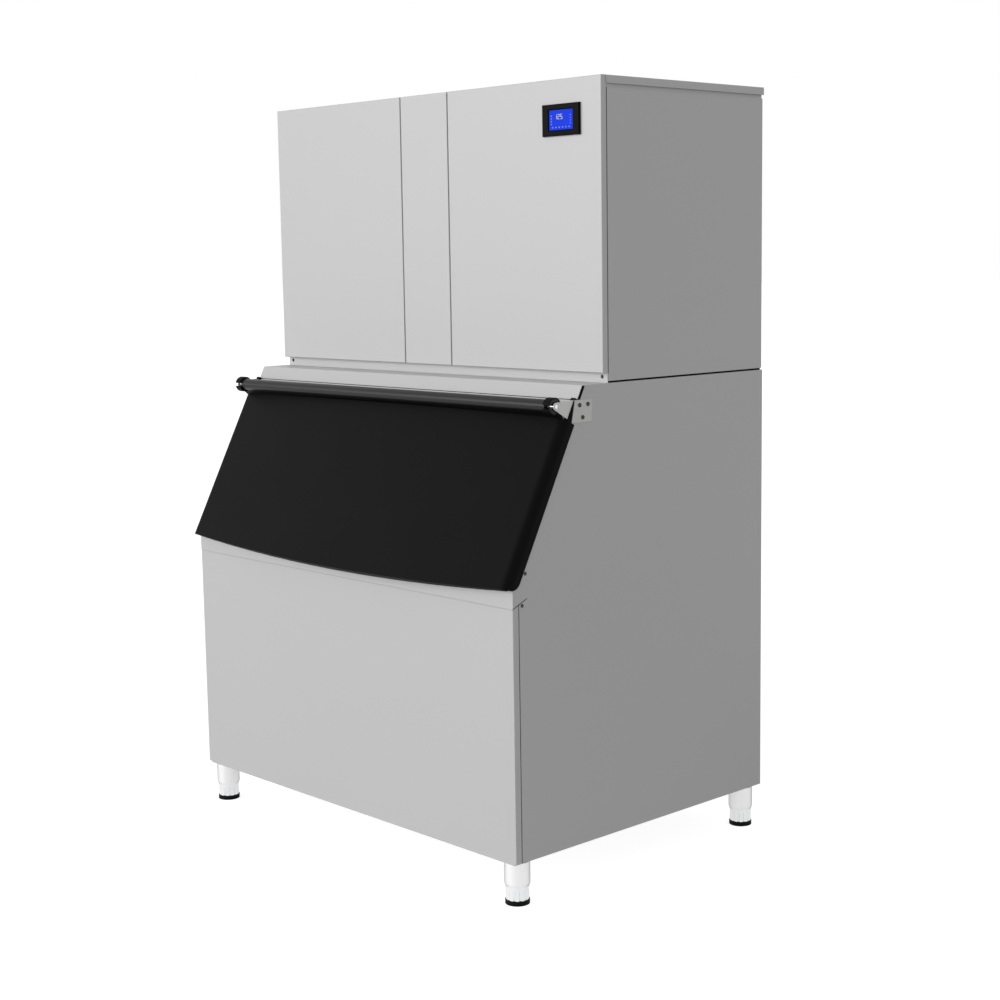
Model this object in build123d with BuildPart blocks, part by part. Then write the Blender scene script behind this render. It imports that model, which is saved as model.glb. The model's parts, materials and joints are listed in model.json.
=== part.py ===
from build123d import *
import os
from math import atan2, cos, sin, tan

os.makedirs("parts", exist_ok=True)

# A modular ice machine: an ice-making head that stands on an insulated storage bin.
# Units are millimetres. X runs left to right seen from the front, Y runs to the back, Z is up.
# The origin lies on the floor, under the middle of the whole machine.

# Overall sizes
WIDTH = 1220.0            # outer faces of the bin sides
BIN_DEPTH = 870.0         # lower front panel to back panel
FLOOR_GAP = 105.0         # floor to the underside of the bin skins
SILL_Z = 690.0            # seam between the lower front panel and the sill
SILL_HEIGHT = 48.0        # seam to the knee, where the sloping front begins
BIN_TOP_Z = 1173.0
SLOPE_RUN = 226.0         # how far the sloping front leans back
HEAD_SETBACK = 296.0      # lower front panel to the face of the head's front panels
HEAD_TOP_Z = 1863.0

# Sheet and wall thicknesses
SHEET = 1.2
INSULATION = 50.0
LINER_WALL = 3.0
FRONT_FLANGE = 17.0       # side flanges of the lower front panel
PAN_DEPTH = 16.0          # flanges of the head's front panels
BEND = 2.0                # outside bend radius of the visible sheet corners
SEAM = 2.5                # dark seam between neighbouring sheets
FOLD = 0.9                # bevels that make the soft line under the sill

# Door
DOOR_OVERHANG = 4.0       # door side beyond the bin side
DOOR_WALL = 2.5
SKIRT_WALL = 2.0
HINGE_AHEAD = 58.66       # hinge axis in front of the slope, level
HINGE_BELOW_TOP = 43.0    # hinge axis below the top of the bin
DOOR_TOP = 16.0           # top wall below the hinge axis, along the slope
DOOR_END_GAP = 18.75      # door's lower corners to the knee, along the slope
DOOR_SMILE = 27.0         # how much lower the middle of the bottom edge hangs
DOOR_CROWN = 14.0         # how far the middle of the face bows forward
FACE_DROP = 29.0          # hinge axis to the face at the door's ends
SKIRT_DROP = 65.0         # hinge axis to the rear edge of the side skirts
SKIRT_CORNER = 26.0
FACE_ROUND = 22.0         # soft long edges of the door face
BARREL_R = 15.0
BARREL_END_GAP = 27.0     # bin side to the end of the barrel
LUG_R = 20.0
LUG_LENGTH = 20.0
PIN_R = 5.0
RUNNING_GAP = 0.05        # radial clearance of every running fit
SEAT_GAP = 0.3            # clearance of parts that rest on each other

# Opening of the bin behind the door
OPENING_ABOVE_KNEE = 37.0
OPENING_BELOW_TOP = 101.0
EDGE_WIDTH = 12.0         # black edge strips beside the opening
EDGE_SINK = 8.0           # strip depth behind the slope
EDGE_PROUD = 9.0          # strip height in front of the slope
FACIA_HEIGHT = 31.0       # sheet above the door

# Hinge brackets, whose places are given from the hinge axis backwards, upwards and downwards
EAR_THICK = 3.0
EAR_R = 9.0
EAR_REACH = 50.0          # to the front edge of the riveted part
PLATE_REACH = 109.0       # to the rear edge of the plate
PLATE_FRONT_TOP = 55.0
PLATE_FRONT_BOTTOM = 44.0
PLATE_ABOVE = 11.0
PLATE_BELOW = 40.0
PLATE_THICK = 2.0
RIVET_R = 2.5
RIVET_HEAD_R = 5.0
RIVET_HEAD = 1.6
RIVET_TAIL_R = 4.0
RIVET_TAIL = 2.0
RIVETS = ((70.0, -1.0), (96.5, 0.0), (79.5, -29.0))   # behind and above the hinge axis

# Legs and feet
LEG_INSET = 36.0
LEG_R = 30.0
LEG_BOTTOM_Z = 42.0
LEG_CONE = 7.0
FOOT_R = 27.3
FOOT_BOTTOM_Z = 5.0
PAD_R = 28.5
PAD_TOP_Z = 11.0
STUD_R = 8.0
STUD_TOP_Z = 92.0
FLUTES = 12
FLUTE_R = 3.0
FRAME_DROP = 4.0          # base frame below the skins

# Head
SEAL_THICK = 4.5          # black seal between bin and head
RAIL_HEIGHT = 18.5        # visible base rail of the head
HEAD_SIDE_INSET = 2.0     # head sides inside the bin sides
CAP_HEIGHT = 18.0
RECESS_HEIGHT = 9.0       # shadow recess below the cap
RECESS_DEPTH = 3.0
CENTRE_STRIP = 178.0      # width of the narrow middle front panel
PANEL_GAP = 3.0
DISPLAY_SIDE = 123.5      # middle of the display from the head's right side
DISPLAY_DROP = 92.0       # and from its top
BEZEL_WIDTH = 119.0
BEZEL_HEIGHT = 72.0
SCREEN_WIDTH = 75.0
SCREEN_HEIGHT = 45.0
BEZEL_PROUD = 6.0

# Round-head screws: two on each bin side, two on the head's rail
SCREW_HEAD_R = 4.5
SCREW_HEAD = 2.6
SCREW_HEAD_TAPER = 38.0
SCREW_R = 2.0
SCREW_LENGTH = 10.0
SIDE_SCREWS = ((39.5, 76.8), (28.6, 6.0))   # behind the front panel, above the sill's seam
RAIL_SCREW_INSET = 20.0

# Drop opening that lets the ice fall from the head into the bin
DROP_WIDTH = 610.0
DROP_DEPTH = 160.0
DROP_SETBACK = 49.0       # behind the face of the head

# Rear connections
DRAIN_REACH = 26.0
DRAIN_R = 12.7
DRAIN_NECK_R = 13.2       # thicker where the spigot passes through the wall
DRAIN_BORE_R = 9.0
DRAIN_X = 0.0

# Places worked out from the sizes
HALF = WIDTH / 2
KNEE_Z = SILL_Z + SILL_HEIGHT
HINGE_Z = BIN_TOP_Z - HINGE_BELOW_TOP
OPENING_BOTTOM_Z = KNEE_Z + OPENING_ABOVE_KNEE
OPENING_TOP_Z = BIN_TOP_Z - OPENING_BELOW_TOP
FACIA_BOTTOM_Z = BIN_TOP_Z - FACIA_HEIGHT
SLOPE_ANGLE = atan2(SLOPE_RUN, BIN_TOP_Z - KNEE_Z)
# The hinge axis lies this far behind the lower front panel.
HINGE_BACK = (HINGE_Z - KNEE_Z) * tan(SLOPE_ANGLE) - HINGE_AHEAD
DOOR_LENGTH = (HINGE_Z - KNEE_Z) / cos(SLOPE_ANGLE) - DOOR_END_GAP
EAR_FRONT = HINGE_BACK + EAR_REACH
PLATE_BACK = HINGE_BACK + PLATE_REACH
PLATE_TOP_Z = HINGE_Z + PLATE_ABOVE
PLATE_BOTTOM_Z = HINGE_Z - PLATE_BELOW
HALF_DOOR = HALF + DOOR_OVERHANG
# The foremost point of the door is the middle of its bottom edge.
DOOR_REACH = ((DOOR_LENGTH + DOOR_SMILE) * sin(SLOPE_ANGLE)
              - (FACE_DROP - DOOR_CROWN) * cos(SLOPE_ANGLE) - HINGE_BACK)
FRONT = (DOOR_REACH - BIN_DEPTH - DRAIN_REACH) / 2
BACK = FRONT + BIN_DEPTH
FRAME_Z = FLOOR_GAP - FRAME_DROP
HEAD_Z = BIN_TOP_Z + SEAL_THICK
PANEL_Z = HEAD_Z + RAIL_HEIGHT
HEAD_FACE = FRONT + HEAD_SETBACK
HEAD_FRAME_Y = HEAD_FACE + PAN_DEPTH
HEAD_HALF = HALF - HEAD_SIDE_INSET
CAP_Z = HEAD_TOP_Z - CAP_HEIGHT
CAVITY_HALF = HALF - INSULATION
DROP_LEFT = -CAVITY_HALF
DROP_RIGHT = DROP_LEFT + DROP_WIDTH
DROP_FRONT = HEAD_SETBACK + DROP_SETBACK
DROP_BACK = DROP_FRONT + DROP_DEPTH
DISPLAY_X = HEAD_HALF - DISPLAY_SIDE
DISPLAY_Z = HEAD_TOP_Z - DISPLAY_DROP
BARREL_HALF = HALF - BARREL_END_GAP
LUG_HALF = BARREL_HALF + LUG_LENGTH
EAR_INNER = HALF - SHEET - EAR_THICK
DRAIN_Z = FLOOR_GAP + INSULATION + LINER_WALL + DRAIN_NECK_R
RIVET_PLACES = [(FRONT + HINGE_BACK + back, HINGE_Z + up) for back, up in RIVETS]
SIDE_PLACES = [(FRONT + back, SILL_Z + up) for back, up in SIDE_SCREWS]
LEFT_SIDE_PLACES = [(-y, z) for y, z in SIDE_PLACES]
RAIL_PLACES = [
    (side * (HALF - RAIL_SCREW_INSET), HEAD_Z + RAIL_HEIGHT / 2) for side in (-1, 1)
]


def deep(distance):
    """Y of a place that lies this far behind the lower front panel."""
    return FRONT + distance


def facing_front(y):
    """Upright plane at y that looks to the front: local x is X, local y is Z."""
    return Plane.XZ.offset(-y)


def facing_right(x):
    """Upright plane at x that looks to the right: local x is Y, local y is Z."""
    return Plane.YZ.offset(x)


def facing_left(x):
    """Upright plane at x that looks to the left: local x is -Y, local y is Z."""
    return Plane(origin=(x, 0, 0), x_dir=(0, -1, 0), z_dir=(-1, 0, 0))


def level(z):
    """Flat plane at height z."""
    return Plane.XY.offset(z)


def finish(part, label):
    """Name a finished piece and write its file."""
    part.label = label
    export_step(part, "parts/" + label + ".step")


def box(x, y, z, mode=Mode.ADD):
    """A box between low and high values of x, y and z in the part being built."""
    with Locations((x[0], y[0], z[0])):
        Box(x[1] - x[0], y[1] - y[0], z[1] - z[0], align=(Align.MIN, Align.MIN, Align.MIN), mode=mode)


def round_screws(plane, places):
    """Round-head screws whose heads stand on the given plane."""
    with BuildSketch(plane) as heads:
        with Locations(places):
            Circle(SCREW_HEAD_R)
    extrude(heads.sketch, amount=SCREW_HEAD, taper=SCREW_HEAD_TAPER)
    with BuildSketch(plane) as shanks:
        with Locations(places):
            Circle(SCREW_R)
    extrude(shanks.sketch, amount=-SCREW_LENGTH)


def screw_holes(plane, places):
    with BuildSketch(plane) as holes:
        with Locations(places):
            Circle(SCREW_R)
    extrude(holes.sketch, amount=-SCREW_LENGTH, mode=Mode.SUBTRACT)


def pipe(points, radius, bend):
    """Round rod bent along the given points."""
    with BuildPart() as tube:
        with BuildLine() as course:
            FilletPolyline(*points, radius=bend)
        with BuildSketch(Plane(origin=course.line @ 0, z_dir=course.line % 0)):
            Circle(radius)
        sweep(path=course.line)
    return tube.part


def slope_y(z):
    """Y of the sloping front at height z."""
    return FRONT + SLOPE_RUN * (z - KNEE_Z) / (BIN_TOP_Z - KNEE_Z)


def slope_point(down, out):
    """Y and Z of a point given down the slope and outwards from the hinge axis."""
    y = deep(HINGE_BACK) - down * sin(SLOPE_ANGLE) - out * cos(SLOPE_ANGLE)
    z = HINGE_Z - down * cos(SLOPE_ANGLE) + out * sin(SLOPE_ANGLE)
    return (y, z)


# Distance of the hinge axis from the sloping front, measured square to the slope
HINGE_OUT = ((slope_y(HINGE_Z) - deep(HINGE_BACK)) * cos(SLOPE_ANGLE))


def off_slope(z, out):
    """Y and Z of a point that stands out from the sloping front at height z."""
    return (slope_y(z) - out * cos(SLOPE_ANGLE), z + out * sin(SLOPE_ANGLE))


# Side outline of the bin

def bin_corners():
    """Corners of the bin's side outline, from the lower front corner upwards."""
    return [
        (FRONT, FLOOR_GAP),
        (FRONT, KNEE_Z),
        (FRONT + SLOPE_RUN, BIN_TOP_Z),
        (BACK, BIN_TOP_Z),
        (BACK, FLOOR_GAP),
    ]


def bin_prism(inset, half, corner=0.0):
    """The bin's side outline, inset on all sides and drawn out across the width."""
    with BuildPart() as prism:
        with BuildSketch(facing_right(-half)) as outline:
            with BuildLine():
                Polyline(*bin_corners(), close=True)
            make_face()
            if inset > 0:
                offset(amount=-inset, kind=Kind.INTERSECTION, mode=Mode.REPLACE)
            if corner > 0:
                fillet(outline.vertices().group_by(Axis.Y)[0], radius=corner)
        extrude(amount=2 * half)
    return prism.part


def across_slope(half, low_z, high_z, inner, outer):
    """A slab along the sloping front between two heights and two distances from it."""
    with BuildPart() as slab:
        with BuildSketch(facing_right(-half)):
            with BuildLine():
                Polyline(
                    off_slope(low_z, inner),
                    off_slope(high_z, inner),
                    off_slope(high_z, outer),
                    off_slope(low_z, outer),
                    close=True,
                )
            make_face()
        extrude(amount=2 * half)
    return slab.part


# Side skins: flat sheets with a notch for the front panel's flange, a relief slit and a set-back edge

SLIT_BACK = 44.0          # end of the relief slit behind the front
SLIT_RISE = 19.0


def slit_z(back):
    """Height of the slit's lower edge this far behind the front."""
    return SILL_Z + SLIT_RISE * back / SLIT_BACK


def bin_side(side, label):
    outer = side * HALF
    inner = side * (HALF - SHEET)
    with BuildPart() as skin:
        with BuildSketch(facing_right(min(outer, inner))) as outline:
            with BuildLine():
                Polyline(*bin_corners(), close=True)
            make_face()
            # The edge is set back along the slope for the black strip.
            with BuildLine():
                Polyline(
                    off_slope(KNEE_Z, -EDGE_SINK),
                    off_slope(BIN_TOP_Z + EDGE_SINK, -EDGE_SINK),
                    off_slope(BIN_TOP_Z + EDGE_SINK, EDGE_SINK),
                    off_slope(KNEE_Z, EDGE_SINK),
                    close=True,
                )
            make_face(mode=Mode.SUBTRACT)
            # The notch beside the front panel's side flange, up to the slit.
            notch = FRONT_FLANGE + SEAM
            with BuildLine():
                Polyline(
                    (deep(0), FLOOR_GAP),
                    (deep(notch), FLOOR_GAP),
                    (deep(notch), slit_z(notch)),
                    (deep(0), slit_z(0)),
                    close=True,
                )
            make_face(mode=Mode.SUBTRACT)
            # The relief slit runs up and back from the seam.
            with BuildLine():
                Polyline(
                    (deep(0), slit_z(0)),
                    (deep(SLIT_BACK), slit_z(SLIT_BACK)),
                    (deep(SLIT_BACK), slit_z(SLIT_BACK) + SEAM),
                    (deep(0), slit_z(0) + SEAM),
                    close=True,
                )
            make_face(mode=Mode.SUBTRACT)
        extrude(amount=SHEET)
        with BuildSketch(facing_right(min(outer, inner))):
            with Locations(RIVET_PLACES):
                Circle(RIVET_R)
            with Locations(SIDE_PLACES):
                Circle(SCREW_R)
        extrude(amount=SHEET, mode=Mode.SUBTRACT)
    finish(skin.part, label)


bin_side(-1, "bin_side_left")
bin_side(1, "bin_side_right")


# Lower front panel: a sheet with side and bottom flanges that wrap round the corners
with BuildPart() as front_panel:
    with BuildSketch(facing_right(-HALF)):
        with BuildLine():
            Polyline(
                (deep(0), FLOOR_GAP),
                (deep(FRONT_FLANGE), FLOOR_GAP),
                (deep(FRONT_FLANGE), slit_z(FRONT_FLANGE)),
                (deep(0), slit_z(0)),
                close=True,
            )
        make_face()
    extrude(amount=WIDTH)
    front_corners = front_panel.edges().filter_by(Axis.Z).group_by(Axis.Y)[0]
    fillet(front_corners, radius=BEND)
    box(
        (-HALF + SHEET, HALF - SHEET),
        (FRONT + SHEET, deep(FRONT_FLANGE)),
        (FLOOR_GAP + SHEET, SILL_Z + SLIT_RISE),
        mode=Mode.SUBTRACT,
    )
    # The front face ends under the sill, with a small bevel that makes the soft fold line.
    with BuildSketch(facing_right(-HALF + SHEET)):
        with BuildLine():
            Polyline(
                (FRONT, SILL_Z - FOLD),
                (FRONT + FOLD, SILL_Z),
                (FRONT + SHEET, SILL_Z),
                (FRONT + SHEET, SILL_Z + SLIT_RISE),
                (FRONT, SILL_Z + SLIT_RISE),
                close=True,
            )
        make_face()
    extrude(amount=WIDTH - 2 * SHEET, mode=Mode.SUBTRACT)
finish(front_panel.part, "front_panel")


# Sill: one folded sheet from the seam, over the knee and a little way up the slope
SILL_LAP = 19.0           # height of the sill sheet above the knee
SILL_LAP_Z = KNEE_Z + SILL_LAP
with BuildPart() as sill_panel:
    with BuildSketch(facing_right(-HALF + SHEET)):
        with BuildLine():
            Polyline(
                (FRONT + SHEET, SILL_Z),
                (FRONT + FOLD, SILL_Z),
                (FRONT, SILL_Z + FOLD),
                (FRONT, KNEE_Z),
                (slope_y(SILL_LAP_Z), SILL_LAP_Z),
                off_slope(SILL_LAP_Z, -SHEET),
                (FRONT + SHEET, KNEE_Z - SHEET * tan(SLOPE_ANGLE / 2)),
                close=True,
            )
        make_face()
    extrude(amount=WIDTH - 2 * SHEET)
    # Above the knee the sheet stops at the black edge strips.
    for side in (-1, 1):
        box(
            sorted((side * (HALF - EDGE_WIDTH), side * HALF)),
            (FRONT - EDGE_SINK, slope_y(SILL_LAP_Z) + EDGE_SINK),
            (KNEE_Z, SILL_LAP_Z + EDGE_SINK),
            mode=Mode.SUBTRACT,
        )
finish(sill_panel.part, "sill_panel")


# Back skin with the drain hole
with BuildPart() as bin_back:
    box(
        (-HALF + SHEET, HALF - SHEET),
        (BACK - SHEET, BACK),
        (FLOOR_GAP, BIN_TOP_Z - SHEET),
    )
    with BuildSketch(facing_front(BACK)):
        with Locations((DRAIN_X, DRAIN_Z)):
            Circle(DRAIN_NECK_R)
    extrude(amount=SHEET, mode=Mode.SUBTRACT)
finish(bin_back.part, "bin_back")


# Bottom skin between the sides
with BuildPart() as bin_bottom:
    box(
        (-HALF + SHEET, HALF - SHEET),
        (deep(FRONT_FLANGE), BACK - SHEET),
        (FLOOR_GAP, FLOOR_GAP + SHEET),
    )
finish(bin_bottom.part, "bin_bottom")


# Top deck with the drop opening
with BuildPart() as bin_deck:
    box(
        (-HALF + SHEET, HALF - SHEET),
        (deep(SLOPE_RUN), BACK),
        (BIN_TOP_Z - SHEET, BIN_TOP_Z),
    )
    box(
        (DROP_LEFT, DROP_RIGHT),
        (deep(DROP_FRONT), deep(DROP_BACK)),
        (BIN_TOP_Z - SHEET, BIN_TOP_Z),
        mode=Mode.SUBTRACT,
    )
finish(bin_deck.part, "bin_deck")


# Facia above the door: a folded sheet on the slope with a short turned-in lower edge
FACIA_HALF = HALF - SHEET
FACIA_RETURN = 6.0
with BuildPart() as bin_facia:
    with BuildSketch(facing_right(-FACIA_HALF)):
        with BuildLine():
            Polyline(
                (deep(SLOPE_RUN), BIN_TOP_Z),
                off_slope(FACIA_BOTTOM_Z, 0),
                off_slope(FACIA_BOTTOM_Z, -FACIA_RETURN),
                off_slope(FACIA_BOTTOM_Z + SHEET, -FACIA_RETURN),
                off_slope(FACIA_BOTTOM_Z + SHEET, -SHEET),
                off_slope(BIN_TOP_Z - SHEET, -SHEET),
                (deep(SLOPE_RUN), BIN_TOP_Z - SHEET),
                close=True,
            )
        make_face()
    extrude(amount=2 * FACIA_HALF)
    # The ends stop at the black edge strips behind the sheet.
    for side in (-1, 1):
        reach = sorted((side * (HALF - EDGE_WIDTH), side * HALF))
        with BuildSketch(facing_right(reach[0])):
            with BuildLine():
                Polyline(
                    off_slope(FACIA_BOTTOM_Z - BEND, -SHEET),
                    off_slope(FACIA_BOTTOM_Z - BEND, -2 * EDGE_SINK),
                    off_slope(BIN_TOP_Z, -2 * EDGE_SINK),
                    off_slope(BIN_TOP_Z, -SHEET),
                    close=True,
                )
            make_face()
        extrude(amount=EDGE_WIDTH, mode=Mode.SUBTRACT)
finish(bin_facia.part, "bin_facia")


# Black edge strips: deep behind the facia, standing proud beside the opening
EDGE_BOTTOM_Z = KNEE_Z + SEAM


with BuildPart() as edge_strips:
    for side in (-1, 1):
        low = min(side * (HALF - EDGE_WIDTH), side * HALF)
        with BuildSketch(facing_right(low)):
            with BuildLine():
                Polyline(
                    off_slope(EDGE_BOTTOM_Z, -EDGE_SINK),
                    off_slope(BIN_TOP_Z, -EDGE_SINK),
                    off_slope(BIN_TOP_Z, -SHEET),
                    off_slope(FACIA_BOTTOM_Z, -SHEET),
                    off_slope(FACIA_BOTTOM_Z, EDGE_PROUD),
                    off_slope(EDGE_BOTTOM_Z, EDGE_PROUD),
                    close=True,
                )
            make_face()
        extrude(amount=EDGE_WIDTH)
        # The strip is cut flat at the top, under the deck.
        box(
            (low, low + EDGE_WIDTH),
            (slope_y(BIN_TOP_Z) - 4 * EDGE_SINK, slope_y(BIN_TOP_Z) + 4 * EDGE_SINK),
            (BIN_TOP_Z - SHEET, BIN_TOP_Z + 4 * EDGE_SINK),
            mode=Mode.SUBTRACT,
        )
        # Slot for the hinge ear.
        box(
            sorted((side * (EAR_INNER - RIVET_TAIL - SEAT_GAP), side * (HALF - SHEET))),
            (slope_y(PLATE_BOTTOM_Z) - 4 * EDGE_SINK, slope_y(PLATE_TOP_Z) + 4 * EDGE_SINK),
            (PLATE_BOTTOM_Z - SEAT_GAP, PLATE_TOP_Z + SEAT_GAP),
            mode=Mode.SUBTRACT,
        )
finish(edge_strips.part, "edge_strips")


# Insulation boards round the storage cavity, with the door opening and the drop opening
GLUE_LINE = 0.2
INNER_KNEE_Z = KNEE_Z - INSULATION * tan(SLOPE_ANGLE / 2)
CAVITY_FLOOR_Z = FLOOR_GAP + INSULATION
CAVITY_TOP_Z = BIN_TOP_Z - INSULATION
EAR_POCKET = EAR_THICK + 3.0
with BuildPart() as bin_insulation:
    add(bin_prism(SHEET, HALF - SHEET))
    add(bin_prism(INSULATION, CAVITY_HALF), mode=Mode.SUBTRACT)
    box(
        (-CAVITY_HALF, CAVITY_HALF),
        (deep(-INSULATION), slope_y(BIN_TOP_Z) + INSULATION),
        (OPENING_BOTTOM_Z, OPENING_TOP_Z),
        mode=Mode.SUBTRACT,
    )
    box(
        (DROP_LEFT, DROP_RIGHT),
        (deep(DROP_FRONT), deep(DROP_BACK)),
        (BIN_TOP_Z - 2 * INSULATION, BIN_TOP_Z),
        mode=Mode.SUBTRACT,
    )
    for side in (-1, 1):
        # Room for the edge strip and the hinge ear with its rivet tails.
        low = min(side * (HALF - EDGE_WIDTH), side * HALF)
        with BuildSketch(facing_right(low)):
            with BuildLine():
                Polyline(
                    off_slope(EDGE_BOTTOM_Z, -EDGE_SINK),
                    off_slope(BIN_TOP_Z + EDGE_SINK, -EDGE_SINK),
                    off_slope(BIN_TOP_Z + EDGE_SINK, EDGE_SINK),
                    off_slope(EDGE_BOTTOM_Z, EDGE_SINK),
                    close=True,
                )
            make_face()
        extrude(amount=EDGE_WIDTH, mode=Mode.SUBTRACT)
        pocket = sorted((side * (HALF - SHEET - EAR_POCKET), side * HALF))
        box(
            pocket,
            (deep(HINGE_BACK), deep(PLATE_BACK + SEAT_GAP)),
            (PLATE_BOTTOM_Z - SEAT_GAP, PLATE_TOP_Z + SEAT_GAP),
            mode=Mode.SUBTRACT,
        )
    with BuildSketch(facing_front(BACK)):
        with Locations((DRAIN_X, DRAIN_Z)):
            Circle(DRAIN_NECK_R)
    extrude(amount=2 * INSULATION, mode=Mode.SUBTRACT)
    # The facia's turned-in lower edge sits in a groove.
    add(
        across_slope(HALF, FACIA_BOTTOM_Z, FACIA_BOTTOM_Z + SHEET, -FACIA_RETURN, 0),
        mode=Mode.SUBTRACT,
    )
    screw_holes(facing_right(HALF), SIDE_PLACES)
    screw_holes(facing_left(-HALF), LEFT_SIDE_PLACES)
    # Level glue lines: on the floor board, in the front wall at the knee, and under the top boards.
    for half, back_y, low_z in (
        (HALF, BACK, CAVITY_FLOOR_Z),
        (CAVITY_HALF, deep(INSULATION), INNER_KNEE_Z - GLUE_LINE),
        (CAVITY_HALF, BACK, CAVITY_TOP_Z - GLUE_LINE),
    ):
        box((-half, half), (FRONT, back_y), (low_z, low_z + GLUE_LINE), mode=Mode.SUBTRACT)
    # Upright glue lines: beside both side boards, and at the right end of the drop opening.
    for left, low_z in (
        (-CAVITY_HALF, CAVITY_FLOOR_Z),
        (CAVITY_HALF - GLUE_LINE, CAVITY_FLOOR_Z),
        (DROP_RIGHT - GLUE_LINE, CAVITY_TOP_Z),
    ):
        box((left, left + GLUE_LINE), (FRONT, BACK), (low_z, BIN_TOP_Z), mode=Mode.SUBTRACT)
finish(bin_insulation.part, "bin_insulation")


# Moulded liner of the storage cavity with a flange round the door opening
CAVITY_CORNER = 40.0
FLANGE_OUT = 1.8          # flange face in front of the slope
with BuildPart() as bin_liner:
    add(bin_prism(INSULATION, CAVITY_HALF, CAVITY_CORNER))
    add(across_slope(HALF - EDGE_WIDTH, SILL_LAP_Z + SEAM, FACIA_BOTTOM_Z - SEAM, -SHEET, FLANGE_OUT))
    with BuildSketch(facing_right(-CAVITY_HALF)):
        with BuildLine():
            Polyline(
                (slope_y(OPENING_BOTTOM_Z), OPENING_BOTTOM_Z),
                (slope_y(OPENING_TOP_Z), OPENING_TOP_Z),
                (deep(INSULATION) + SLOPE_RUN, OPENING_TOP_Z),
                (deep(INSULATION), OPENING_BOTTOM_Z),
                close=True,
            )
        make_face()
    extrude(amount=2 * CAVITY_HALF)
    add(
        bin_prism(INSULATION + LINER_WALL, CAVITY_HALF - LINER_WALL, CAVITY_CORNER - LINER_WALL),
        mode=Mode.SUBTRACT,
    )
    box(
        (-CAVITY_HALF + LINER_WALL, CAVITY_HALF - LINER_WALL),
        (deep(-INSULATION), slope_y(BIN_TOP_Z)),
        (OPENING_BOTTOM_Z + LINER_WALL, OPENING_TOP_Z - LINER_WALL),
        mode=Mode.SUBTRACT,
    )
    box(
        (DROP_LEFT, DROP_RIGHT),
        (deep(DROP_FRONT), deep(DROP_BACK)),
        (BIN_TOP_Z - 2 * INSULATION, BIN_TOP_Z - SHEET),
        mode=Mode.SUBTRACT,
    )
    with BuildSketch(facing_front(BACK)):
        with Locations((DRAIN_X, DRAIN_Z)):
            Circle(DRAIN_NECK_R)
    extrude(amount=2 * INSULATION, mode=Mode.SUBTRACT)
finish(bin_liner.part, "bin_liner")


# Drain spigot through the back wall
with BuildPart() as drain_outlet:
    for start, length, radius, mode in (
        (BACK, INSULATION + LINER_WALL, DRAIN_NECK_R, Mode.ADD),
        (BACK + DRAIN_REACH, DRAIN_REACH, DRAIN_R, Mode.ADD),
        (BACK + DRAIN_REACH, DRAIN_REACH + INSULATION + LINER_WALL, DRAIN_BORE_R, Mode.SUBTRACT),
    ):
        with BuildSketch(facing_front(start)):
            with Locations((DRAIN_X, DRAIN_Z)):
                Circle(radius)
        extrude(amount=length, mode=mode)
finish(drain_outlet.part, "drain_outlet")


# Base frame: a flat steel ring under the bin
RING_WIDTH = 60.0
RING_FRONT = 2.0
RING_INSET = 8.0
with BuildPart() as base_frame:
    box(
        (-HALF + RING_INSET, HALF - RING_INSET),
        (deep(RING_FRONT), BACK - RING_INSET),
        (FRAME_Z, FLOOR_GAP),
    )
    box(
        (-HALF + RING_INSET + RING_WIDTH, HALF - RING_INSET - RING_WIDTH),
        (deep(RING_FRONT + RING_WIDTH), BACK - RING_INSET - RING_WIDTH),
        (FRAME_Z, FLOOR_GAP),
        mode=Mode.SUBTRACT,
    )
finish(base_frame.part, "base_frame")


# Legs: four plain sleeves with a conical lower end and a bore for the foot's stud
LEG_PLACES = [
    (side * (HALF - LEG_INSET), y)
    for y in (deep(LEG_INSET), BACK - LEG_INSET)
    for side in (-1, 1)
]
with BuildPart() as legs:
    with BuildSketch(level(FRAME_Z)):
        with Locations(LEG_PLACES):
            Circle(LEG_R)
    extrude(amount=-(FRAME_Z - LEG_BOTTOM_Z))
    lower_edges = legs.edges().group_by(Axis.Z)[0]
    chamfer(lower_edges, length=LEG_CONE, length2=LEG_R - FOOT_R)
    with BuildSketch(level(LEG_BOTTOM_Z)):
        with Locations(LEG_PLACES):
            Circle(STUD_R + RUNNING_GAP)
    extrude(amount=STUD_TOP_Z - LEG_BOTTOM_Z + SEAT_GAP, mode=Mode.SUBTRACT)
finish(legs.part, "legs")


def foot(place, label):
    """Fluted screw foot with its stud."""
    with BuildPart() as body:
        with BuildSketch(level(FOOT_BOTTOM_Z)):
            with Locations(place):
                Circle(FOOT_R)
        extrude(amount=LEG_BOTTOM_Z - FOOT_BOTTOM_Z)
        with BuildSketch(level(FOOT_BOTTOM_Z)):
            with Locations(place):
                with PolarLocations(FOOT_R + FLUTE_R / 2, FLUTES):
                    Circle(FLUTE_R)
        extrude(amount=LEG_BOTTOM_Z - FOOT_BOTTOM_Z - 2 * FLUTE_R, mode=Mode.SUBTRACT)
        with BuildSketch(level(LEG_BOTTOM_Z)):
            with Locations(place):
                Circle(STUD_R)
        extrude(amount=STUD_TOP_Z - LEG_BOTTOM_Z)
    finish(body.part, label)


def foot_pad(place, label):
    """Rubber pad that holds the lower end of a foot in a shallow cup."""
    with BuildPart() as pad:
        with BuildSketch(level(0)):
            with Locations(place):
                Circle(PAD_R)
        extrude(amount=PAD_TOP_Z)
        with BuildSketch(level(FOOT_BOTTOM_Z)):
            with Locations(place):
                Circle(FOOT_R)
        extrude(amount=PAD_TOP_Z - FOOT_BOTTOM_Z, mode=Mode.SUBTRACT)
    finish(pad.part, label)


CORNER_NAMES = ("front_left", "front_right", "back_left", "back_right")
for leg_place, corner_name in zip(LEG_PLACES, CORNER_NAMES):
    foot(leg_place, "foot_" + corner_name)
    foot_pad(leg_place, "foot_pad_" + corner_name)


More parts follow.
